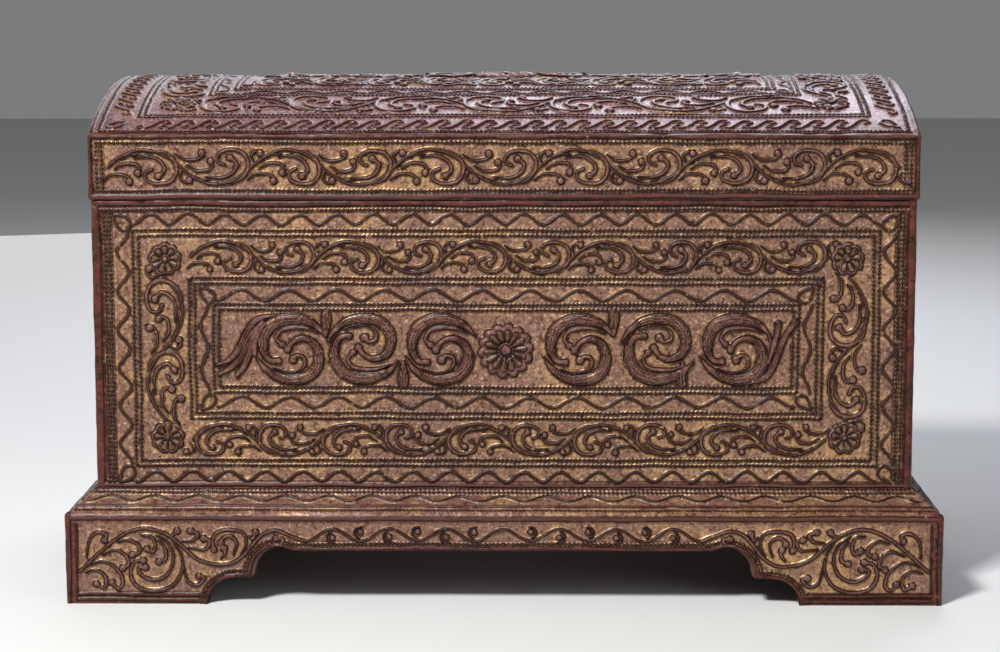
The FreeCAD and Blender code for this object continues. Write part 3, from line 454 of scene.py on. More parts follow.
# Leaves in which the scrolls of a panel end, left and right, in shares of the radius from the middle of
# the end scroll
LEFT_TUFT_SHARES = (
    ((-0.40 + 1.00j, -0.98 + 0.84j, -1.28 + 0.43j, -1.46 + 0.02j, -1.75 - 0.34j, -2.14 - 0.48j),
     (0.05, 0.11, 0.13, 0.12, 0.10, 0.05)),
    ((-0.80 + 0.78j, -1.16 + 0.31j, -1.40 - 0.25j, -1.73 - 0.58j, -2.06 - 0.76j),
     (0.08, 0.13, 0.13, 0.11, 0.07)),
    ((-0.72 + 0.74j, -1.02 + 0.37j, -1.16 - 0.11j, -1.32 - 0.51j, -1.54 - 0.80j),
     (0.06, 0.11, 0.12, 0.12, 0.09)),
    ((-0.84 + 0.50j, -1.00 + 0.20j, -1.03 - 0.16j), (0.05, 0.08, 0.09)),
)
RIGHT_TUFT_SHARES = (
    ((0.36 - 1.00j, 0.88 - 0.86j, 1.18 - 0.42j, 1.36 + 0.09j, 1.53 + 0.46j, 1.75 + 0.78j),
     (0.05, 0.10, 0.12, 0.12, 0.10, 0.13)),
    ((1.00 - 0.42j, 1.15 + 0.09j, 1.24 + 0.50j, 1.26 + 0.74j), (0.06, 0.10, 0.10, 0.13)),
    ((1.08 + 0.05j, 1.04 + 0.28j, 0.98 + 0.48j), (0.04, 0.06, 0.06)),
)


def tuft(relief, middle, radius, leaves):
    """Leaf tips in which the scrolls of a panel end."""
    for shares, widths in leaves:
        relief.curve(middle + radius * np.asarray(shares), widths, radius, BIG_STAND * 0.85, grooved, steps=9)


# Sheets: a grid of points in the drawing, and where each lies on the chest

def grid(columns, rows):
    """Every column with every row."""
    return np.meshgrid(np.asarray(columns, float), np.asarray(rows, float))


def spaced(low, high, step):
    """Even places from low to high, about a step apart."""
    return np.linspace(low, high, max(int(round((high - low) / step)), 1) + 1)


def turned(points, turn):
    """Turn points about the chest's upright axis, by degrees."""
    c, s = math.cos(math.radians(turn)), math.sin(math.radians(turn))
    x, y, z = points[..., 0], points[..., 1], points[..., 2]
    return np.stack([c * x - s * y, s * x + c * y, z], axis=-1)


def corner_wrap(x, half):
    """Clamp a place along a wall to the flat part, and give the angle past it."""
    flat = half + GROUND - CORNER
    core = np.clip(x, -flat, flat)
    return core, (x - core) / CORNER


def wall_reach(half):
    """How far a drawing on a wall goes to the middle of the rounded corner."""
    return half + GROUND - CORNER + CORNER * math.pi / 4


def wall(x, y, half, distance, turn, top=None):
    """Upright wall with rounded corners; above a given top its edge rolls over towards the dome."""
    core_x, angle = corner_wrap(x, half)
    core_y = y if top is None else np.minimum(y, top)
    over = (y - core_y) / CORNER
    normal = np.stack([np.sin(angle), -np.cos(angle) * np.cos(over), np.cos(angle) * np.sin(over)], axis=-1)
    core = np.stack([core_x, np.full_like(x, CORNER - GROUND - distance), core_y], axis=-1)
    return turned(core + CORNER * normal, turn), turned(normal, turn)


# Dome: radius inside the rounded edge, angle of its eave, and half of the turn from dome to wall
dome_core = dome_radius + GROUND - CORNER
eave_angle = math.asin((lid_half_depth + GROUND - CORNER) / dome_core)
eave_roll = (math.pi / 2 - eave_angle) / 2
eave_reach = (dome_core + CORNER) * eave_angle + CORNER * eave_roll
rim_top = dome_centre + dome_core * math.cos(eave_angle)


def dome(x, y):
    """Dome of the lid: x along the chest, and y along the arc from its top, towards the back."""
    core_x, angle = corner_wrap(x, lid_half_length)
    tilt = y / (dome_core + CORNER)
    core_tilt = np.clip(tilt, -eave_angle, eave_angle)
    lean = core_tilt + (tilt - core_tilt) * (dome_core + CORNER) / CORNER
    normal = np.stack([np.sin(angle), np.cos(angle) * np.sin(lean), np.cos(angle) * np.cos(lean)], axis=-1)
    core_z = dome_centre + dome_core * np.cos(core_tilt)
    core = np.stack([core_x, dome_core * np.sin(core_tilt), core_z], axis=-1)
    return core + CORNER * normal, normal


def arched_end(low, turn, step):
    """End of the lid up to the dome's edge, with the drawing's grid, the points and their normals."""
    across = spaced(-wall_reach(lid_half_depth), wall_reach(lid_half_depth), step)
    core_x, angle = corner_wrap(across, lid_half_depth)
    top = dome_centre + np.sqrt(dome_core ** 2 - core_x ** 2)
    rise = np.linspace(0, 1, int((lid_crown - low) / step))
    roll = np.concatenate([np.zeros(len(rise)), np.linspace(0, math.pi / 4, 4)[1:]])[:, None]
    rise = np.concatenate([rise, np.ones(3)])[:, None]
    core_z = low + (top - low) * rise
    x = across + np.zeros_like(core_z)
    y = core_z + CORNER * roll
    side = np.abs(angle) + np.zeros_like(core_z)
    roll = roll + np.zeros_like(core_z)
    bend = np.maximum(side, roll)
    share = np.where(roll >= side, side / np.maximum(roll, 1e-9) / 2, 1 - roll / np.maximum(side, 1e-9) / 2)
    share = np.where(side > 0, share, 0)
    lean = np.arcsin(core_x / dome_core) + np.sign(core_x) * 2 * eave_roll * share
    normal = np.stack([np.sin(bend) * np.sin(lean), -np.cos(bend), np.sin(bend) * np.cos(lean)], axis=-1)
    depth = np.full_like(x, CORNER - GROUND - lid_half_length)
    core = np.stack([core_x + np.zeros_like(x), depth, core_z], axis=-1)
    return x, y, turned(core + CORNER * normal, turn), turned(normal, turn)


def shell(
        name, points, normals, grids, body, material,
        rows=slice(None), columns=slice(None), back_along_rows=True):
    """Make a closed shell from part of a sheet: its relief on top, its rim and back sunk in the wood."""
    arrays = [values[rows, columns] for values in (*grids, points, normals)]
    if not back_along_rows:
        arrays = [np.swapaxes(values, 0, 1)[::-1] for values in arrays]
    height, crest, close, cavity, red, base, normal = arrays
    top = base + normal * height[..., None]
    high, wide = height.shape
    ring = np.concatenate([
        np.arange(wide),
        np.arange(1, high) * wide + wide - 1,
        (high - 1) * wide + np.arange(wide - 2, -1, -1),
        np.arange(high - 2, 0, -1) * wide,
    ])
    sunk = (base - normal * SUNK).reshape(-1, 3)[ring]
    numbers = np.arange(high * wide).reshape(high, wide)
    quads = np.stack([numbers[:-1, :-1], numbers[:-1, 1:], numbers[1:, 1:], numbers[1:, :-1]], axis=-1)
    quads = quads.reshape(-1, 4)
    low = high * wide + np.arange(len(ring))
    skirt = np.stack([ring, low, np.roll(low, -1), np.roll(ring, -1)], axis=-1)
    right = low[wide - 1:wide + high - 1]
    left = np.concatenate([low[:1], low[:-(high - 1):-1], low[2 * wide + high - 3:2 * wide + high - 2]])
    backs = np.stack([left[1:-2], left[2:-1], right[2:-1], right[1:-2]], axis=-1)
    ends = (
        np.concatenate([[left[1]], [right[1]], low[:wide][::-1]]),
        np.concatenate([[right[-2]], [left[-2]], low[wide + high - 2:2 * wide + high - 2][::-1]]),
    )
    vertices = np.concatenate([top.reshape(-1, 3), sunk]) * MM
    flat_faces = np.concatenate([quads, skirt, backs])
    loops = np.concatenate([flat_faces.ravel(), ends[0], ends[1]])
    totals = np.concatenate([np.full(len(flat_faces), 4), [len(ends[0]), len(ends[1])]])
    mesh = bpy.data.meshes.new(name)
    mesh.vertices.add(len(vertices))
    mesh.vertices.foreach_set("co", vertices.astype(np.float32).ravel())
    mesh.loops.add(len(loops))
    mesh.loops.foreach_set("vertex_index", loops.astype(np.int32))
    mesh.polygons.add(len(totals))
    mesh.polygons.foreach_set("loop_start", np.concatenate([[0], np.cumsum(totals)[:-1]]).astype(np.int32))
    mesh.polygons.foreach_set("loop_total", totals.astype(np.int32))
    mesh.polygons.foreach_set("use_smooth", np.arange(len(totals)) < len(quads))
    mesh.update(calc_edges=True)
    ends_of_edges = np.empty(len(mesh.edges) * 2, np.int32)
    mesh.edges.foreach_get("vertices", ends_of_edges)
    place = np.full(len(vertices), -9)
    place[ring] = np.arange(len(ring))
    first, second = place[ends_of_edges.reshape(-1, 2).T]
    beside = np.isin(np.abs(first - second), (1, len(ring) - 1)) & (first >= 0) & (second >= 0)
    mesh.attributes.new("sharp_edge", "BOOLEAN", "EDGE").data.foreach_set("value", beside)
    for label, values in (("crest", crest), ("near", close), ("cavity", cavity), ("red", red)):
        layer = mesh.attributes.new(label, "FLOAT", "POINT")
        padded = np.concatenate([values.ravel(), values.reshape(-1)[ring]])
        layer.data.foreach_set("value", padded.astype(np.float32))
    mesh.materials.append(material)
    piece = bpy.data.objects.new(name, mesh)
    bpy.context.scene.collection.objects.link(piece)
    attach(piece, body)
    return piece


# Materials

class Nodes:
    """Short way to build a node tree."""

    def __init__(self, name):
        self.material = bpy.data.materials.new(name)
        self.material.use_nodes = True
        self.tree = self.material.node_tree
        self.shader = self.tree.nodes["Principled BSDF"]

    def add(self, kind, **settings):
        """New node with some settings."""
        node = self.tree.nodes.new(kind)
        for name, value in settings.items():
            setattr(node, name, value)
        return node

    def link(self, source, target):
        """Join an output to an input."""
        self.tree.links.new(source, target)

    def put(self, socket, value):
        """Set an input to a number or a colour, or join it to an output."""
        if isinstance(value, tuple):
            socket.default_value = (*value, 1.0)
        elif isinstance(value, (int, float)):
            socket.default_value = value
        else:
            self.link(value, socket)

    def attribute(self, name):
        """Value that the mesh carries under a name."""
        return self.add("ShaderNodeAttribute", attribute_name=name).outputs["Fac"]

    def noise(self, scale, detail, rough=0.55, stretch=None):
        """Noise fixed to the object."""
        texture = self.add("ShaderNodeTexNoise")
        for name, value in (("Scale", scale), ("Detail", detail), ("Roughness", rough)):
            texture.inputs[name].default_value = value
        place = self.add("ShaderNodeTexCoord").outputs["Object"]
        if stretch:
            mapping = self.add("ShaderNodeMapping")
            mapping.inputs["Scale"].default_value = stretch
            self.link(place, mapping.inputs["Vector"])
            place = mapping.outputs["Vector"]
        self.link(place, texture.inputs["Vector"])
        return texture.outputs["Fac"]

    def spread(self, source, low, high, to_low=0.0, to_high=1.0):
        """Spread a range of values over another."""
        node = self.add("ShaderNodeMapRange")
        for name, value in (("From Min", low), ("From Max", high), ("To Min", to_low), ("To Max", to_high)):
            node.inputs[name].default_value = value
        self.link(source, node.inputs["Value"])
        return node.outputs["Result"]

    def sum(self, first, second, operation="ADD"):
        """Sum of two values."""
        node = self.add("ShaderNodeMath", operation=operation, use_clamp=operation == "MULTIPLY")
        self.put(node.inputs[0], first)
        self.put(node.inputs[1], second)
        return node.outputs["Value"]

    def product(self, first, second):
        """Product of two values, from 0 to 1."""
        return self.sum(first, second, "MULTIPLY")

    def mix(self, share, first, second):
        """Mix of two colours."""
        node = self.add("ShaderNodeMix", data_type="RGBA")
        self.put(node.inputs["Factor"], share)
        colours = [item for item in node.inputs if item.type == "RGBA"]
        self.put(colours[0], first)
        self.put(colours[1], second)
        return [item for item in node.outputs if item.type == "RGBA"][0]

    def bump(self, source, strength, distance, under=None):
        """Fine unevenness, laid over another."""
        node = self.add("ShaderNodeBump")
        node.inputs["Strength"].default_value = strength
        node.inputs["Distance"].default_value = distance
        self.link(source, node.inputs["Height"])
        if under is not None:
            self.link(under, node.inputs["Normal"])
        return node.outputs["Normal"]


# Colours of the lacquer, as linear light
GOLD = (0.44, 0.26, 0.125)
# Pale gold of painted glints on the gilding
PALE_GOLD_GLINT = (0.80, 0.57, 0.37)
MAUVE = (0.185, 0.100, 0.070)
PURPLE = (0.150, 0.078, 0.082)
UMBER = (0.050, 0.018, 0.012)
MAROON = (0.014, 0.0025, 0.0020)
PLUM = (0.155, 0.076, 0.062)
WINE = (0.100, 0.027, 0.021)
# Lighter red for the raised parts of the red lacquer: rubbed wear and a painted highlight
WORN_RED_HIGHLIGHT = (0.24, 0.105, 0.080)
# Dark of dirt in the red lacquer, and of dirt and painted shade in the hollows beside the ridges
DIRT_AND_SHADE = (0.010, 0.004, 0.003)


def gilded_relief(name, gilding, brown, gloss):
    """Gold leaf worn over brown ground with painted pale glints, dark red threads, dirt and painted shade in
    the corners, red lacquer at the edges with painted highlights on its raised parts.
    """
    nodes = Nodes(name)
    crest, near, cavity, red = [nodes.attribute(label) for label in ("crest", "near", "cavity", "red")]
    broad = nodes.noise(7.0, 3.0)
    patches = nodes.noise(48.0, 5.0, 0.65)
    flecks = nodes.noise(260.0, 4.0, 0.7)
    grain = nodes.noise(620.0, 3.0, 0.6)
    leaf = nodes.spread(near, 0.05, 0.75, gilding - 0.35, gilding + 0.35)
    leaf = nodes.sum(leaf, nodes.spread(broad, 0.3, 0.7, -0.3, 0.3))
    leaf = nodes.sum(leaf, nodes.spread(patches, 0.32, 0.68, -0.45, 0.45))
    ground = nodes.mix(nodes.spread(leaf, 0.2, 0.8), brown, GOLD)
    # Dark specks of dirt, and pale gold specks painted as glints on the gilding
    specks_and_glints = (
        (flecks, 0.58, 0.74, 0.0, 0.5, PALE_GOLD_GLINT), (grain, 0.58, 0.72, 0.0, 0.4, PALE_GOLD_GLINT),
        (flecks, 0.34, 0.48, 0.9, 0.0, UMBER), (grain, 0.36, 0.50, 0.5, 0.0, UMBER))
    for source, *limits, colour in specks_and_glints:
        ground = nodes.mix(nodes.spread(source, *limits), ground, colour)
    band = nodes.mix(nodes.spread(flecks, 0.42, 0.62), PLUM, UMBER)
    band = nodes.mix(nodes.spread(crest, 0.50, 1.30), MAROON, band)
    wear = nodes.product(nodes.spread(crest, -0.30, 0.10), nodes.spread(flecks, 0.60, 0.74, 1.0, 0.45))
    lacquer = nodes.mix(nodes.spread(patches, 0.38, 0.60), WINE, UMBER)
    lacquer = nodes.mix(nodes.spread(flecks, 0.34, 0.50, 0.85, 0.0), lacquer, DIRT_AND_SHADE)
    outline = nodes.product(nodes.spread(crest, -0.6, -0.1), nodes.spread(crest, 0.2, 0.8, 1.0, 0.0))
    lacquer = nodes.mix(outline, lacquer, MAROON)
    # Raised parts of the red lacquer lighter: rubbed wear and a painted highlight
    worn_highlight = nodes.product(nodes.spread(cavity, -0.15, -0.60), nodes.spread(patches, 0.40, 0.60))
    lacquer = nodes.mix(worn_highlight, lacquer, WORN_RED_HIGHLIGHT)
    edge = nodes.product(nodes.spread(red, 0.0, 0.9), nodes.spread(flecks, 0.58, 0.72, 1.0, 0.5))
    tone = nodes.mix(edge, nodes.mix(wear, ground, band), lacquer)
    # Darker in the hollows beside the ridges: dirt and painted shade
    hollow_dirt_and_shade = nodes.spread(cavity, 0.08, 0.44, 0.0, 0.90)
    tone = nodes.mix(nodes.product(hollow_dirt_and_shade, nodes.spread(flecks, 0.3, 0.6, 1.0, 0.6)), tone, DIRT_AND_SHADE)
    nodes.link(tone, nodes.shader.inputs["Base Color"])
    nodes.link(nodes.spread(patches, 0.35, 0.7, gloss, gloss + 0.15), nodes.shader.inputs["Roughness"])
    metal = nodes.product(nodes.spread(leaf, 0.3, 0.9, 0.1, 0.55), nodes.spread(wear, 0.1, 0.6, 1.0, 0.0))
    nodes.link(metal, nodes.shader.inputs["Metallic"])
    nodes.shader.inputs["Specular IOR Level"].default_value = 0.14
    rough = nodes.bump(patches, 0.3, 0.0010)
    rough = nodes.bump(flecks, 0.5, 0.0007, rough)
    nodes.link(nodes.bump(grain, 0.3, 0.0003, rough), nodes.shader.inputs["Normal"])
    return nodes.material


def lacquered_wood(name, tone, dark, stretch, gloss=0.42):
    """Thin lacquer over wood, its grain along one way, worn and dusty."""
    nodes = Nodes(name)
    grain = nodes.noise(46.0, 6.0, 0.62, stretch)
    worn = nodes.noise(14.0, 5.0, 0.6)
    fine = nodes.noise(300.0, 2.0, 0.5, stretch)
    colour = nodes.mix(nodes.spread(grain, 0.36, 0.66), tone, dark)
    colour = nodes.mix(nodes.spread(worn, 0.58, 0.78, 0.0, 0.5), colour, tuple(min(v * 2.2, 1) for v in tone))
    nodes.link(colour, nodes.shader.inputs["Base Color"])
    nodes.link(nodes.spread(worn, 0.3, 0.7, gloss, gloss + 0.22), nodes.shader.inputs["Roughness"])
    rough = nodes.bump(grain, 0.3, 0.0008)
    nodes.link(nodes.bump(fine, 0.25, 0.0003, rough), nodes.shader.inputs["Normal"])
    return nodes.material


gilt = gilded_relief("gilded_relief", 0.38, MAUVE, 0.25)
dome_gilt = gilded_relief("worn_gilded_relief", 0.0, PURPLE, 0.17)
outer_wood = lacquered_wood(
    "dark_lacquer", (0.060, 0.020, 0.015), (0.022, 0.010, 0.008), (0.25, 3.0, 3.0))
inner_wood = lacquered_wood(
    "inner_red_lacquer", (0.17, 0.035, 0.022), (0.075, 0.020, 0.014), (0.3, 3.0, 3.0), 0.5)


# Faces of the carcass

# Sides of the chest: name, turn about its upright axis, and whether it is a long one
SIDES = (("front", 0, True), ("back", 180, True), ("left", -90, False), ("right", 90, False))

# How far the drawing of a face sits to the right, and the room of its scroll bands
DRAWING_SHIFT = 1.6
BAND_HIGH, BAND_WIDE = 24.4, 28.6

# Round the frames: red at the ends, columns of beads, wave columns and rows, and half of a column's length.
# Columns are given from the face's end, rows from its middle
END_RED = 12.8
BEAD_COLUMNS = (7.4, 10.8)
WAVE_COLUMN, WAVE_ROW, WAVE_REACH = 17.4, 85.9, 77

# Within the second frame, from its lines: wave row and column, where they stop, and place of the loops
INNER_ROW, INNER_COLUMN = 11.0, 10.1
INNER_ROW_END, INNER_COLUMN_END = 18, 17
INNER_LOOP = 11.2

# Radius, petals and height of the rosettes in a face's middle and in its corners
MIDDLE_ROSETTE = (18.8, 14, 3.4)
CORNER_ROSETTE = (11.6, 9, 2.5)


def face_frames(half):
    """Half length and half height of the three frames of a face, from the outer one inwards."""
    return (half - 24.2, 78.6), (half - 61.0, 46.8), (half - 77.0, 29.6)


def corner_heading(end, side):
    """Heading of a corner of a face, in degrees."""
    return 90 - 90 * end + 45 * side * end


def face_relief(half, distance, turn, name, step, seed, waves, bays, side_bays, inner_waves, panel):
    """Relief on one face of the carcass, made as five panels that meet."""
    frames = face_frames(half)
    inner_x, inner_y = frames[1]
    low, high = carcass_base, carcass_top - SEAM
    edge = wall_reach(half)
    x, y = grid(spaced(-edge, edge, step), spaced(low, high, step))
    relief = Relief(x, y, seed)
    middle = DRAWING_SHIFT + 1j * frame_middle
    relief.stain((np.abs(x) > half - END_RED) | (y > high - 8) | (y < low + 5), 0.8)
    for side in (-1, 1):
        relief.upright(side * edge, low, high, ROLL * 2.2, ROLL_STAND, thread, 1.0)
        for inset in BEAD_COLUMNS:
            relief.upright(side * (half - inset), low + 3, high - 7)
        column = middle + side * (half - WAVE_COLUMN)
        wave(relief, column - 1j * WAVE_REACH, column + 1j * WAVE_REACH, waves[1], 4.0)
        row = middle + 1j * side * WAVE_ROW
        wave(relief, row - (half - 24), row + (half - 24), waves[0], 3.4)
        for end in (-1, 1):
            loop(relief, middle + end * (half - 17.2) + 1j * side * 84.6, corner_heading(end, side))
    for place, width, red in ((high - 1.6, 2.3, 1.0), (low + 1.8, 1.9, 0.6)):
        relief.across(edge, place, width, ROLL_STAND, thread, red)
    relief.across(half - 4, high - 6.2)
    for half_x, half_y in frames:
        frame_lines(relief, half_x, half_y, middle)
    bands(relief, frames, middle, bays, side_bays)
    for side in (-1, 1):
        row = middle + 1j * side * (inner_y - INNER_ROW)
        reach = inner_x - INNER_ROW_END
        wave(relief, row - reach, row + reach, inner_waves[0], 3.5)
        column = middle + side * (inner_x - INNER_COLUMN)
        reach = 1j * (inner_y - INNER_COLUMN_END)
        wave(relief, column - reach, column + reach, inner_waves[1], 2.6)
        for end in (-1, 1):
            place = row + end * (inner_x - INNER_LOOP) + 0.4j * side
            loop(relief, place, corner_heading(end, side), 6.2, 5.0)
    panel(relief, middle)
    grids = relief.finish()
    points, normals = wall(x, y, half, distance, turn)
    cut_x = inner_x + 2.2
    cut_y = inner_y + 2.0
    columns = [0, *np.searchsorted(x[0], (-cut_x, cut_x)), x.shape[1] - 1]
    rows = [0, *np.searchsorted(y[:, 0], (frame_middle - cut_y, frame_middle + cut_y)), x.shape[0] - 1]
    below, beside, above = [slice(first, last + 1) for first, last in zip(rows, rows[1:])]
    left, centre, right = [slice(first, last + 1) for first, last in zip(columns, columns[1:])]
    parts = (
        ("lower", below, slice(None)), ("left", beside, left), ("middle", beside, centre),
        ("right", beside, right), ("upper", above, slice(None)))
    for label, *part in parts:
        shell(f"{name}_{label}_relief", points, normals, grids, "chest", gilt, *part)
    for label in ("lower", "left", "right", "upper"):
        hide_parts(f"{name}_corner_rosettes", f"{name}_scrollwork", f"{name}_frames")
    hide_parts(f"{name}_frames", f"{name}_rosette", f"{name}_scrollwork")
    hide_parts("carcass_rim_roll")
    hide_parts("carcass_foot_roll")


def bands(relief, frames, middle, bays, side_bays):
    """Scroll bands right round a face between its outer two frames, with a rosette in each corner."""
    band_x, band_y = [(outer - 3.4 + inner) / 2 for outer, inner in zip(frames[0], frames[1])]
    reach_x = band_x - 14.0
    reach_y = band_y - 13.5
    row = 1j * band_y
    scroll_band(relief, middle + row - reach_x + 4, middle + row + reach_x, bays, BAND_HIGH)
    scroll_band(relief, middle - row + reach_x, middle - row - reach_x + 4, bays, BAND_HIGH, -1, -1)
    for x in (-1, 1):
        start = middle + x * (band_x + 1j * reach_y)
        scroll_band(relief, start, start - 2j * x * reach_y, side_bays, BAND_WIDE)
        for y in (-1, 1):
            relief.rosette(middle + x * (band_x - 1) + 1j * y * (band_y - 1.5), *CORNER_ROSETTE)


# Scrolls of the long middle panel: middle along the panel, and whether it is upside down
LONG_SCROLLS = ((-142.5, 1), (-95.0, -1), (-43.5, 1), (47.5, 1), (99.5, -1), (151.0, 1))
LONG_BUDS = ((-118.3, 15.2, 90), (-67.5, -15.6, -90), (71.5, 16.0, 90), (116.5, -15.6, -90))
SCROLL_RADIUS = 22.8

# Place and radius of the scrolls of the short panel
SHORT_SCROLL, SHORT_RADIUS = 44.5, 21.5


def long_panel(relief, middle):
    """Rosette and six acanthus scrolls that end in a tuft on each side."""
    for place, flip in LONG_SCROLLS:
        big_scroll(relief, middle + place, SCROLL_RADIUS, flip)
    for x, y, heading in LONG_BUDS:
        bud(relief, middle + x + 1j * y, 14.0, 8.4, heading)
    tuft(relief, middle + LONG_SCROLLS[0][0], SCROLL_RADIUS, LEFT_TUFT_SHARES)
    tuft(relief, middle + LONG_SCROLLS[-1][0], SCROLL_RADIUS, RIGHT_TUFT_SHARES)
    relief.rosette(middle - 1.0j, *MIDDLE_ROSETTE)


def short_panel(relief, middle):
    """Rosette with a scroll on each side."""
    for side in (-1, 1):
        big_scroll(relief, middle + side * SHORT_SCROLL, SHORT_RADIUS, 1, -side)
    relief.rosette(middle, *MIDDLE_ROSETTE)


def faces():
    """Relief on the four faces of the carcass."""
    long_counts = {"waves": (20, 6), "bays": 10, "side_bays": 2, "inner_waves": (12, 2), "panel": long_panel}
    short_counts = {"waves": (10, 6), "bays": 4, "side_bays": 2, "inner_waves": (4, 2), "panel": short_panel}
    for number, (name, turn, is_long) in enumerate(SIDES):
        half, distance = (half_length, half_depth) if is_long else (half_depth, half_length)
        counts = long_counts if is_long else short_counts
        step = PLAIN if number else FINE
        face_relief(half, distance, turn, name, step, SEED + 10 * number, **counts)


# The lid

# Heights between which the rim's scroll band runs, and where it stops from the rim's end
RIM_BAND = (275.4, 302.6)
LID_COLUMN = 12.5


def rim_ornament(relief, half, low, bays):
    """Ornament of the lid's rim: a scroll band between ropes, and beaded columns at the corners."""
    edge = wall_reach(half)
    high = RIM_BAND[1]
    relief.stain((np.abs(relief.x) > half - 10.5) | (relief.y < low + 6), 0.5)
    relief.across(edge, low + 1.9, ROLL, ROLL_STAND, thread, 0.7)
    relief.line(complex(4 - half, high + 5.6), complex(half - 4, high + 5.2), THREAD * 0.8, 1.6, thread)
    for row in (low + 5.6, high + 2.2):
        relief.across(half - 4, row)
    for side in (-1, 1):
        relief.upright(side * edge, low, relief.y.max(), ROLL, ROLL_STAND, thread, 1.0)
        for inset in (5.0, 8.7):
            relief.upright(side * (half - inset), low + 7, high + 2)
    reach = half - LID_COLUMN
    middle = 1j * sum(RIM_BAND) / 2
    scroll_band(relief, middle - reach, middle + reach, bays, RIM_BAND[1] - RIM_BAND[0] - 0.6)


def lid_rims():
    """Front and back of the lid's rim."""
    low = carcass_top + SEAM
    top = rim_top + CORNER * eave_roll
    edge = wall_reach(lid_half_length)
    for name, turn, step, seed in (("front", 0, FINE, SEED + 40), ("back", 180, PLAIN, SEED + 41)):
        x, y = grid(spaced(-edge, edge, step), spaced(low, top, step))
        relief = Relief(x, y, seed)
        rim_ornament(relief, lid_half_length, low, 11)
        relief.across(edge, top, ROLL * 0.75, ROLL_STAND * 1.4, thread, 0.25)
        points, normals = wall(x, y, lid_half_length, lid_half_depth, turn, rim_top)
        piece = shell(f"lid_{name}_rim_relief", points, normals, relief.finish(), "lid", gilt)
        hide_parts("lid_rim_roll", "lid_shoulder_roll")


def lid_ends():
    """Arched ends of the lid."""
    low = carcass_top + SEAM
    tilt = np.linspace(-eave_angle, eave_angle, 41)
    for name, turn, seed in (("left", -90, SEED + 42), ("right", 90, SEED + 43)):
        x, y, points, normals = arched_end(low, turn, PLAIN)
        relief = Relief(x, y, seed)
        rim_ornament(relief, lid_half_depth, low, 6)
        relief.across(lid_half_depth - 3, lid_spring - 0.5)
        arc = 1j * dome_centre + dome_core * (np.sin(tilt) + 1j * np.cos(tilt))
        relief.ridge(arc + 1j * CORNER * math.pi / 4, ROLL, ROLL_STAND, red=1.0)
        for inset in (2.4, 6.0):
            inner = 1j * dome_centre + (dome_core - inset) * (np.sin(tilt * 0.93) + 1j * np.cos(tilt * 0.93))
            relief.ridge(inner, BEAD, BEAD_STAND, beads)
        middle = 1j * (lid_spring + 11.2)
        relief.rosette(middle, 9.3, 9, 2.3)
        for side in (-1, 1):
            scroll_band(relief, middle + side * 11, middle - 1.5j + side * 62, 2, 17, side, -1)
            scroll_band(relief, middle - 2.5j + side * 62, middle - 5.5j + side * 104, 2, 9.5, side, -1)
        piece = shell(f"lid_{name}_end_relief", points, normals, relief.finish(), "lid", gilt)
        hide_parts("lid_rim_roll", "lid_shoulder_roll")


# Rows of the dome by their arc from its top, and columns by their distance from the middle
DOME_SCROLL_ROW, DOME_SCROLL_HIGH = 104.8, 35.5
DOME_EDGE_ROW, DOME_EDGE_HIGH = 141.0, 18.0
DOME_COLUMN, DOME_EDGE_COLUMN = 219.3, 254.5
DOME_LINES = ((242.0, 128.6), (200.5, 85.4), (185.0, 69.6))

# Half lengths and letters of the edge scroll, along and across; room of a corner rosette; wave row and
# column, and place of the loops between them
DOME_EDGE_RUNS = ((238, 31), (122, 16))
DOME_ROSETTE_ROOM = 13.5
DOME_WAVE_ROW, DOME_WAVE_COLUMN, DOME_LOOP_COLUMN = 77.4, 192.6, 191.5


def dome_ornament(relief):
    """Nested bands round the crown of the dome, the same to the front and the back."""
    edge_x, edge_y = wall_reach(lid_half_length), eave_reach
    relief.stain(np.abs(relief.y) > edge_y - 24, 0.3)
    relief.stain(np.abs(relief.x) > edge_x - 12, 0.6)
    for side in (-1, 1):
        relief.upright(side * edge_x, -edge_y, edge_y, ROLL, ROLL_STAND, thread, 1.0)
        relief.across(edge_x, side * edge_y, ROLL * 0.75, ROLL_STAND * 1.4, thread, 0.25)
        relief.across(edge_x - 4, side * (edge_y - 3.0), THREAD * 0.65, THREAD_STAND, thread, 0.2)
        relief.across(edge_x - 6, side * (edge_y - 5.8))
        relief.upright(side * (edge_x - 6), 6 - edge_y, edge_y - 6)
    for half_x, half_y in DOME_LINES:
        frame_lines(relief, half_x, half_y, 0)
    (long_run, long_count), (short_run, short_count) = DOME_EDGE_RUNS
    for side in (-1, 1):
        row = 1j * side * DOME_EDGE_ROW
        reach = long_run * side
        running_scroll(relief, row - reach, row + reach, long_count, DOME_EDGE_HIGH - 3)
        column = DOME_EDGE_COLUMN * side
        reach = 1j * short_run * side
        running_scroll(relief, column + reach, column - reach, short_count, DOME_EDGE_HIGH - 3)
        for end in (-1, 1):
            loop(relief, row + end * DOME_EDGE_COLUMN, 45 * side * end, 7.2, 5.0)
        row = 1j * side * DOME_SCROLL_ROW
        reach = (DOME_COLUMN - DOME_ROSETTE_ROOM) * side
        scroll_band(relief, row - reach, row + reach, 7, DOME_SCROLL_HIGH, -1)
        column = DOME_COLUMN * side
        reach = 1j * (DOME_SCROLL_ROW - DOME_ROSETTE_ROOM) * side
        scroll_band(relief, column - reach, column + reach, 4, DOME_SCROLL_HIGH - 1)
        row = 1j * side * DOME_WAVE_ROW
        wave(relief, row - 178, row + 178, 13, 3.0)
        column = side * DOME_WAVE_COLUMN
        wave(relief, column - 66j, column + 66j, 5, 3.0)
        for end in (-1, 1):
            loop(relief, row + end * DOME_LOOP_COLUMN, 45 * side * end, 6.0, 4.2)
            relief.rosette(DOME_COLUMN * end + 1j * side * DOME_SCROLL_ROW, 12.2, 9, 2.6)
    crown_ornament(relief)


# Places of the two tufts along the crown
CROWN_TUFTS = (-154.0, 165.0)


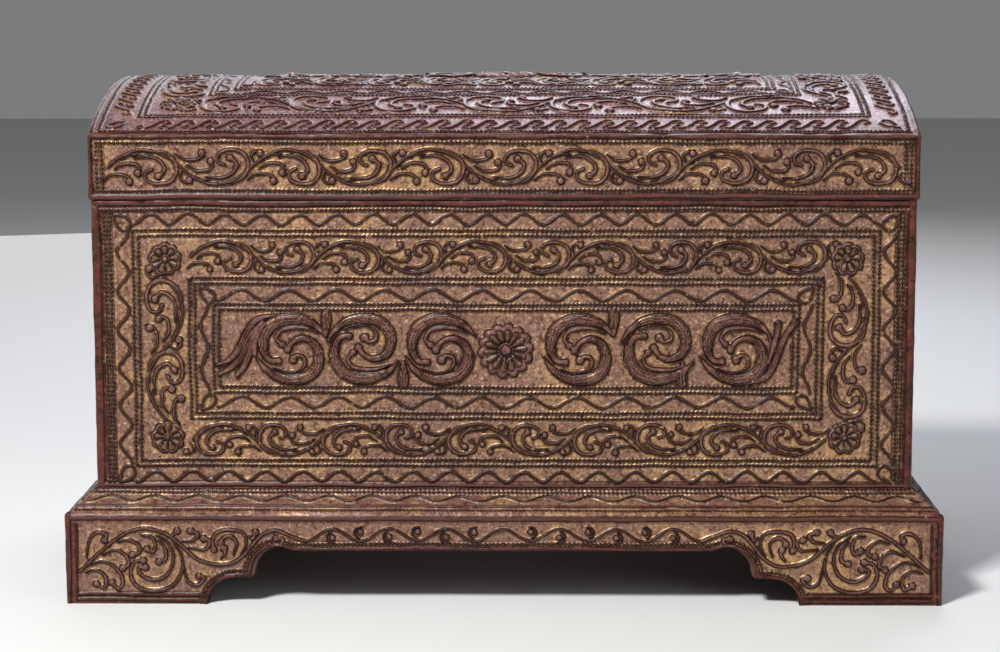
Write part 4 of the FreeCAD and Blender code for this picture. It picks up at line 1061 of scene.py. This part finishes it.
def crown_ornament(relief):
    """Flower on top of the dome among bands of leaf scrolls, and a tuft towards each end."""
    relief.rosette(0, 22, 14, 3.6)
    for side in (-1, 1):
        big_scroll(relief, side * 39, 17, 1, side)
        scroll_band(relief, side * 60 + 0j, side * 138 + 0j, 3, 34, side)
        row = 1j * side * 43
        scroll_band(relief, row - 174 * side, row + 174 * side, 9, 36, -1)
    for place in CROWN_TUFTS:
        relief.ball(place, 4.5, 3.2)
        for heading in range(20, 380, 45):
            bud(relief, place + 8.5 * np.exp(1j * math.radians(heading)), 14, 6.0, heading)


def dome_panels():
    """Relief on the dome, made as three panels along the chest."""
    cut = 56.0
    edge = wall_reach(lid_half_length)
    rows = np.concatenate([
        spaced(-eave_reach, -cut, DOME_FINE)[:-1],
        spaced(-cut, cut, (DOME_FINE + PLAIN) / 2)[:-1],
        spaced(cut, eave_reach, PLAIN)])
    x, y = grid(spaced(-edge, edge, DOME_FINE), rows)
    relief = Relief(x, y, SEED + 50)
    dome_ornament(relief)
    grids = relief.finish()
    points, normals = dome(x, y)
    marks = [0, *np.searchsorted(rows, (-cut - 1e-6, cut - 1e-6)), len(rows) - 1]
    for name, first, last in zip(("front", "crown", "back"), marks, marks[1:]):
        part = slice(first, last + 1)
        piece = shell(f"lid_{name}_dome_relief", points, normals, grids, "lid", dome_gilt, part)
        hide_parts("lid_frames", "lid_corner_rosettes", "lid_crown_rosette")


# The plinth

# Outline of the opening between the feet, from the foot inwards, and the nose above it
FOOT_COVE = 18.0
NIB_LENGTH, NIB_STEP = 11.0, 2.5
APRON_COVE = 19.0
CUSP_DROP, CUSP_LENGTH = 3.0, 10.0
NOSE_HEIGHT, NOSE_RADIUS = 8.0, 3.0
FRONT_FOOT, END_FOOT = 93.0, 66.0

# Height of the vine's middle line, and how far it sways
VINE_ROW, VINE_REACH = 47.4, 4.1

# Ridges of a foot's leaf scroll, in shares of the foot's length and of the plinth's height, each with the
# place of its end ball
FOOT_STEM_SHARES = (
    0.09 + 0.42j, 0.21 + 0.61j, 0.355 + 0.82j, 0.47 + 0.92j, 0.58 + 0.945j, 0.705 + 0.885j, 0.785 + 0.79j,
    0.863 + 0.665j, 0.94 + 0.56j, 1.055 + 0.50j, 1.17 + 0.51j, 1.26 + 0.61j, 1.335 + 0.77j, 1.405 + 0.89j,
    1.495 + 0.93j, 1.585 + 0.875j, 1.695 + 0.80j)
FOOT_LEAF_SHARES = (
    ((0.76 + 0.78j, 0.818 + 0.607j, 0.818 + 0.41j, 0.75 + 0.235j, 0.626 + 0.17j, 0.502 + 0.215j,
      0.452 + 0.37j, 0.48 + 0.52j), 0.545 + 0.545j),
    ((0.648 + 0.861j, 0.728 + 0.763j, 0.761 + 0.569j, 0.716 + 0.37j, 0.615 + 0.304j, 0.525 + 0.37j,
      0.513 + 0.45j), 0.56 + 0.455j),
    ((0.538 + 0.861j, 0.605 + 0.845j, 0.635 + 0.741j, 0.61 + 0.65j), 0.572 + 0.69j),
    ((0.66 + 0.80j, 0.70 + 0.704j, 0.705 + 0.569j), 0.655 + 0.528j),
    ((0.366 + 0.773j, 0.446 + 0.802j, 0.513 + 0.731j, 0.52 + 0.648j), 0.468 + 0.617j),
    ((0.254 + 0.607j, 0.344 + 0.670j, 0.412 + 0.620j, 0.44 + 0.509j), 0.395 + 0.45j),
    ((0.153 + 0.489j, 0.266 + 0.528j, 0.367 + 0.411j, 0.395 + 0.264j, 0.36 + 0.19j), 0.316 + 0.265j),
    ((0.13 + 0.40j, 0.209 + 0.42j, 0.271 + 0.333j, 0.262 + 0.20j), 0.203 + 0.244j),
    ((0.141 + 0.587j, 0.158 + 0.802j, 0.22 + 0.90j, 0.282 + 0.87j), 0.266 + 0.80j),
    ((0.731 + 0.861j, 0.765 + 0.875j), 0.79 + 0.915j),
    ((0.83 + 0.79j, 0.905 + 0.80j, 0.935 + 0.88j), 0.886 + 0.915j),
    ((0.873 + 0.71j, 0.99 + 0.69j, 1.022 + 0.796j), 0.976 + 0.821j),
    ((1.247 + 0.63j, 1.281 + 0.763j, 1.258 + 0.89j, 1.157 + 0.93j, 1.067 + 0.89j, 1.044 + 0.79j),
     1.05 + 0.69j),
    ((1.19 + 0.62j, 1.213 + 0.763j, 1.168 + 0.85j, 1.12 + 0.83j), 1.10 + 0.77j),
    ((1.10 + 0.57j, 1.13 + 0.64j), 1.125 + 0.70j),
    ((0.835 + 0.47j, 0.863 + 0.294j, 0.931 + 0.241j, 0.982 + 0.333j), 0.94 + 0.35j),
    ((1.30 + 0.86j, 1.325 + 0.82j), 1.345 + 0.90j),
    ((1.43 + 0.75j, 1.515 + 0.75j, 1.54 + 0.83j), 1.49 + 0.83j),
)


def bracket_edge(x, half, foot):
    """Height of the board's lower edge at a distance from the middle."""
    inward = half - foot - np.abs(x)
    second = FOOT_COVE + NIB_LENGTH
    cusp = second + APRON_COVE
    low_cove = np.sqrt(np.clip(FOOT_COVE ** 2 - (FOOT_COVE - inward) ** 2, 0, None))
    high_cove = np.sqrt(np.clip(APRON_COVE ** 2 - (APRON_COVE - (inward - second)) ** 2, 0, None))
    crown = FOOT_COVE + NIB_STEP + APRON_COVE
    edge = np.where(inward > 0, np.where(inward < FOOT_COVE, low_cove, FOOT_COVE), 0)
    edge = np.where(inward > second, FOOT_COVE + NIB_STEP + high_cove, edge)
    drop = np.clip((inward - cusp) / CUSP_LENGTH, 0, 1) * CUSP_DROP
    return np.where(inward > cusp, crown - drop, edge)


def bracket_columns(half, foot, step):
    """Even columns, and more where the lower edge is steep."""
    edge = wall_reach(half)
    t = np.linspace(0, math.pi / 2, 9)
    inner = half - foot
    second = inner - FOOT_COVE - NIB_LENGTH
    coves = inner - FOOT_COVE * (1 - np.cos(t)), second - APRON_COVE * (1 - np.cos(t))
    extra = np.concatenate([*coves, [inner + 0.02, second + 0.02]])
    columns = np.concatenate([spaced(-edge, edge, step), extra, -extra])
    columns.sort()
    return columns[np.concatenate([[True], np.diff(columns) > 0.015])]


def cap_profile(distance, step):
    """Nose and slope above the board, row by row: distance out, height, tilt of the normal, length along."""
    rows = []
    straight_top = plinth_top + NOSE_HEIGHT - NOSE_RADIUS
    for height in spaced(plinth_top, straight_top, step)[1:-1]:
        rows.append((distance + GROUND, height, 0.0))
    for tilt in np.linspace(0, math.radians(72), max(int(4.5 / step), 4)):
        reach = NOSE_RADIUS + GROUND
        out = distance - NOSE_RADIUS + reach * math.cos(tilt)
        rows.append((out, straight_top + reach * math.sin(tilt), tilt))
    foot = np.array([distance - NOSE_RADIUS, plinth_top + NOSE_HEIGHT])
    head = np.array([distance - (plinth_half_depth - half_depth), slope_top])
    tilt = math.atan2(foot[0] - head[0], head[1] - foot[1])
    for share in np.linspace(0.03, 1, int(20.6 / step)):
        spot = foot + (head - foot) * share + GROUND * np.array([math.cos(tilt), math.sin(tilt)])
        rows.append((spot[0], spot[1], tilt))
    rows = np.array(rows)
    gaps = np.hypot(np.diff(rows[:, 0], prepend=distance + GROUND), np.diff(rows[:, 1], prepend=plinth_top))
    return rows[:, 0], rows[:, 1], rows[:, 2], plinth_top + np.cumsum(gaps)


def plinth_sheet(half, distance, foot, turn, step):
    """Board, nose and slope of one side of the plinth: the drawing's grid, the points and their normals."""
    columns = bracket_columns(half, foot, step)
    low = bracket_edge(columns, half, foot)
    share = np.linspace(0, 1, int(plinth_top / step) + 1)[:, None]
    out, up, tilt, along = cap_profile(distance, step)
    height = np.concatenate([low + (plinth_top - low) * share, np.repeat(up[:, None], len(columns), axis=1)])
    y = np.concatenate([low + (plinth_top - low) * share, np.repeat(along[:, None], len(columns), axis=1)])
    out = np.concatenate([np.full(len(share), distance + GROUND), out])[:, None]
    tilt = np.concatenate([np.zeros(len(share)), tilt])[:, None]
    core_out = out - CORNER * np.cos(tilt)
    flat = half + GROUND - CORNER
    wrap = CORNER * math.pi / 4
    bend = np.clip((np.abs(columns) - flat) / wrap, 0, 1) + np.zeros_like(height)
    core_x = np.clip(columns, -flat, flat) * (half + core_out - distance) / flat
    side = np.sign(columns)
    x = core_x + side * bend * wrap
    level, rise = np.cos(tilt) + np.zeros_like(height), np.sin(tilt) + np.zeros_like(height)
    ridge = np.sqrt(2 * level ** 2 + 4 * rise ** 2)
    normal = np.stack([side * bend * level / ridge, -level * (1 - bend + bend / ridge),
                       rise * (1 - bend + 2 * bend / ridge)], axis=-1)
    normal /= np.linalg.norm(normal, axis=-1, keepdims=True)
    core = np.stack([core_x, -core_out + np.zeros_like(height), height - CORNER * np.sin(tilt)], axis=-1)
    return x, y, turned(core + CORNER * normal, turn), turned(normal, turn)


def plinth_ornament(relief, half, foot, slope_waves, vine_waves):
    """Vine along the apron, leaf scrolls on the feet, rope along the opening, beads and a wave above."""
    edge = wall_reach(half)
    top = relief.y.max()
    inward = half - foot - np.abs(relief.x)
    relief.stain(relief.y > plinth_top, 0.45)
    relief.stain((np.abs(relief.x) > half - 6.6) | (relief.y < 9) | (relief.y > 55.5) & (relief.y < 61), 0.8)
    relief.stain((relief.y < bracket_edge(relief.x, half, foot) + 6.5) & (inward > -6), 0.9)
    relief.across(edge, 58.2, 2.2, 0.9, thread, 0.6)
    for down, section, red in ((1.9, beads, 0.0), (5.2, beads, 0.0), (16.4, thread, 0.7), (20.4, beads, 0.4)):
        relief.across(half - 19 + down * 0.75, top - down, BEAD * 0.9, BEAD_STAND * 0.8, section, red)
    row = 1j * (top - 10.0)
    wave(relief, row - half + 13, row + half - 13, slope_waves, 2.2, THREAD * 0.85)
    for side in (-1, 1):
        relief.upright(side * edge, 0, 59, ROLL * 1.3, ROLL_STAND, thread, 1.0)
        relief.upright(side * (half - 6.4), 8, 54, THREAD * 0.8, 0.9, thread, 0.5)
        for row in (3.0, 6.6):
            start, end = complex(side * (half - 7), row), complex(side * (half - foot + 1.5), row)
            relief.line(start, end, 1.5, 1.2, thread, 0.9)
        foot_leaf(relief, half, foot, side)
    apron_vine(relief, half - foot - (FOOT_STEM_SHARES[-1].real - 1) * FRONT_FOOT, vine_waves)
    bracket_rope(relief, half, foot)


def foot_leaf(relief, half, foot, side):
    """Leaf scroll on a foot, and the stem that joins it to the vine."""
    def put(shares):
        shares = np.asarray(shares, complex)
        inward = np.minimum(shares.real, 1) * foot + np.maximum(shares.real - 1, 0) * FRONT_FOOT
        return side * (half - inward) + 1j * shares.imag * plinth_top

    relief.ridge(smooth(put(FOOT_STEM_SHARES), 5), LEAF * 1.4, LEAF_STAND)
    for shares, end in FOOT_LEAF_SHARES:
        relief.curve(put((*shares, end)), (0.8, 1.3, 1.55, 1.4), LEAF, LEAF_STAND)
        relief.ball(put(end), BALL, BALL_STAND * 0.9)


def apron_vine(relief, reach, waves):
    """Vine with a ball in each bay, mirrored about the middle."""
    half_wave = reach / waves
    x = np.linspace(0, reach, waves * 8 + 1)
    path = x + 1j * (VINE_ROW + VINE_REACH * np.cos(math.pi * x / half_wave))
    curl = spiral(4.0, 75, -105, 0.85)
    for side in (-1, 1):
        relief.ridge(side * path.real + 1j * path.imag, LEAF, LEAF_STAND * 0.9)
        for number in range(1, waves):
            up = 1 if number % 2 else -1
            middle = side * number * half_wave + 1j * (VINE_ROW + up * 1.9)
            relief.ball(middle, 2.4, BALL_STAND * 0.85)
            relief.ridge(middle + side * curl.real - 1j * up * curl.imag, LEAF * 0.75, LEAF_STAND * 0.8)


def bracket_rope(relief, half, foot):
    """Red roll and beads that follow the opening between the feet."""
    t = np.linspace(0, math.pi / 2, 10)
    second = FOOT_COVE + NIB_LENGTH
    level = FOOT_COVE + NIB_STEP
    for inset, width, stand, section, red in ((1.3, 1.7, 1.3, thread, 1.0), (4.6, 1.7, 1.4, beads, 0.3)):
        low = FOOT_COVE + inset
        high = APRON_COVE + inset
        first = FOOT_COVE - low * np.cos(t) + 1j * low * np.sin(t)
        start = math.asin((inset - NIB_STEP) / high) if inset > NIB_STEP else 0.0
        t_high = np.linspace(start, math.pi / 2, 10)
        next_cove = second + APRON_COVE - high * np.cos(t_high) + 1j * (level + high * np.sin(t_high))
        cusp = 1j * (level + high - CUSP_DROP)
        floor = [second + APRON_COVE + CUSP_LENGTH + cusp, half - foot + cusp]
        inward = np.concatenate([first, next_cove, floor])
        for side in (-1, 1):
            relief.ridge(side * (half - foot - inward.real) + 1j * inward.imag, width, stand, section, red)


def plinth_reliefs():
    """Relief on the four sides of the plinth."""
    for number, (name, turn, is_long) in enumerate(SIDES):
        half, distance, foot, slope_waves, vine_waves = (
            (plinth_half_length, plinth_half_depth, FRONT_FOOT, 19, 7) if is_long
            else (plinth_half_depth, plinth_half_length, END_FOOT, 11, 3))
        x, y, points, normals = plinth_sheet(half, distance, foot, turn, PLAIN if number else PLINTH_FINE)
        relief = Relief(x, y, SEED + 60 + number)
        plinth_ornament(relief, half, foot, slope_waves, vine_waves)
        piece = shell(
            f"plinth_{name}_relief", points, normals, relief.finish(), "chest", gilt, back_along_rows=False)
        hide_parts(f"plinth_{name}_border", "plinth_nose_roll")


# Camera, light and floor

PHOTO_WIDTH = 1000
FOCAL_PIXELS = 2420.7
SENSOR = 36.0
CAMERA_PLACE = (25.0, -1733.8, 403.1)
CAMERA_PITCH = 7.881
CAMERA_YAW = 0.965
CAMERA_ROLL = 0.089

# In metres: what the lamps face, and how far the floor reaches
LAMP_TARGET = Vector((0, 0, 0.17))
FLOOR_REACH = 6.0


def camera():
    """Camera at the photo's place and angle."""
    data = bpy.data.cameras.new("camera")
    data.sensor_width = SENSOR
    data.lens = FOCAL_PIXELS / PHOTO_WIDTH * SENSOR
    thing = bpy.data.objects.new("camera", data)
    thing.location = Vector(CAMERA_PLACE) * MM
    thing.rotation_euler = [math.radians(a) for a in (90 - CAMERA_PITCH, CAMERA_ROLL, CAMERA_YAW)]
    bpy.context.scene.collection.objects.link(thing)
    bpy.context.scene.camera = thing


def lamp(name, place, size, power, colour=(1.0, 1.0, 1.0)):
    """Soft square lamp that faces the chest."""
    data = bpy.data.lights.new(name, "AREA")
    data.size = size
    data.energy = power
    data.color = colour
    thing = bpy.data.objects.new(name, data)
    thing.location = place
    thing.rotation_euler = (LAMP_TARGET - Vector(place)).to_track_quat("-Z", "Y").to_euler()
    bpy.context.scene.collection.objects.link(thing)


def studio():
    """Pale floor and world, and soft lamps."""
    scene = bpy.context.scene
    scene.view_settings.view_transform = "Standard"
    world = bpy.data.worlds.new("studio")
    scene.world = world
    world.use_nodes = True
    background = world.node_tree.nodes["Background"]
    background.inputs["Color"].default_value = (0.90, 0.91, 0.93, 1)
    background.inputs["Strength"].default_value = 0.22
    mesh = bpy.data.meshes.new("floor")
    corners = [(x * FLOOR_REACH, y * FLOOR_REACH, 0) for x, y in ((-1, -1), (1, -1), (1, 1), (-1, 1))]
    mesh.from_pydata(corners, [], [(0, 1, 2, 3)])
    floor = bpy.data.objects.new("floor", mesh)
    scene.collection.objects.link(floor)
    nodes = Nodes("floor")
    nodes.shader.inputs["Base Color"].default_value = (0.56, 0.56, 0.55, 1)
    nodes.shader.inputs["Roughness"].default_value = 0.8
    mesh.materials.append(nodes.material)
    lamp("key", (-0.55, -1.2, 1.45), 0.3, 54)
    lamp("fill", (1.3, -1.4, 0.7), 1.0, 6)
    lamp("back", (0.3, 1.3, 1.5), 1.0, 20, (0.82, 0.86, 1.0))
    lamp("rear", (-0.7, 2.0, 0.9), 2.2, 16)


def wooden_parts():
    """Give the boards of the frame their finish."""
    slots = {row["node"]: row["material_slot"] for row in frame["record"]["subparts"]}
    for name, node in frame["nodes"].items():
        material = inner_wood if slots[name] == "inner_wood" else outer_wood
        node.data.materials.clear()
        node.data.materials.append(material)


wooden_parts()
faces()
lid_rims()
lid_ends()
dome_panels()
plinth_reliefs()
camera()
studio()
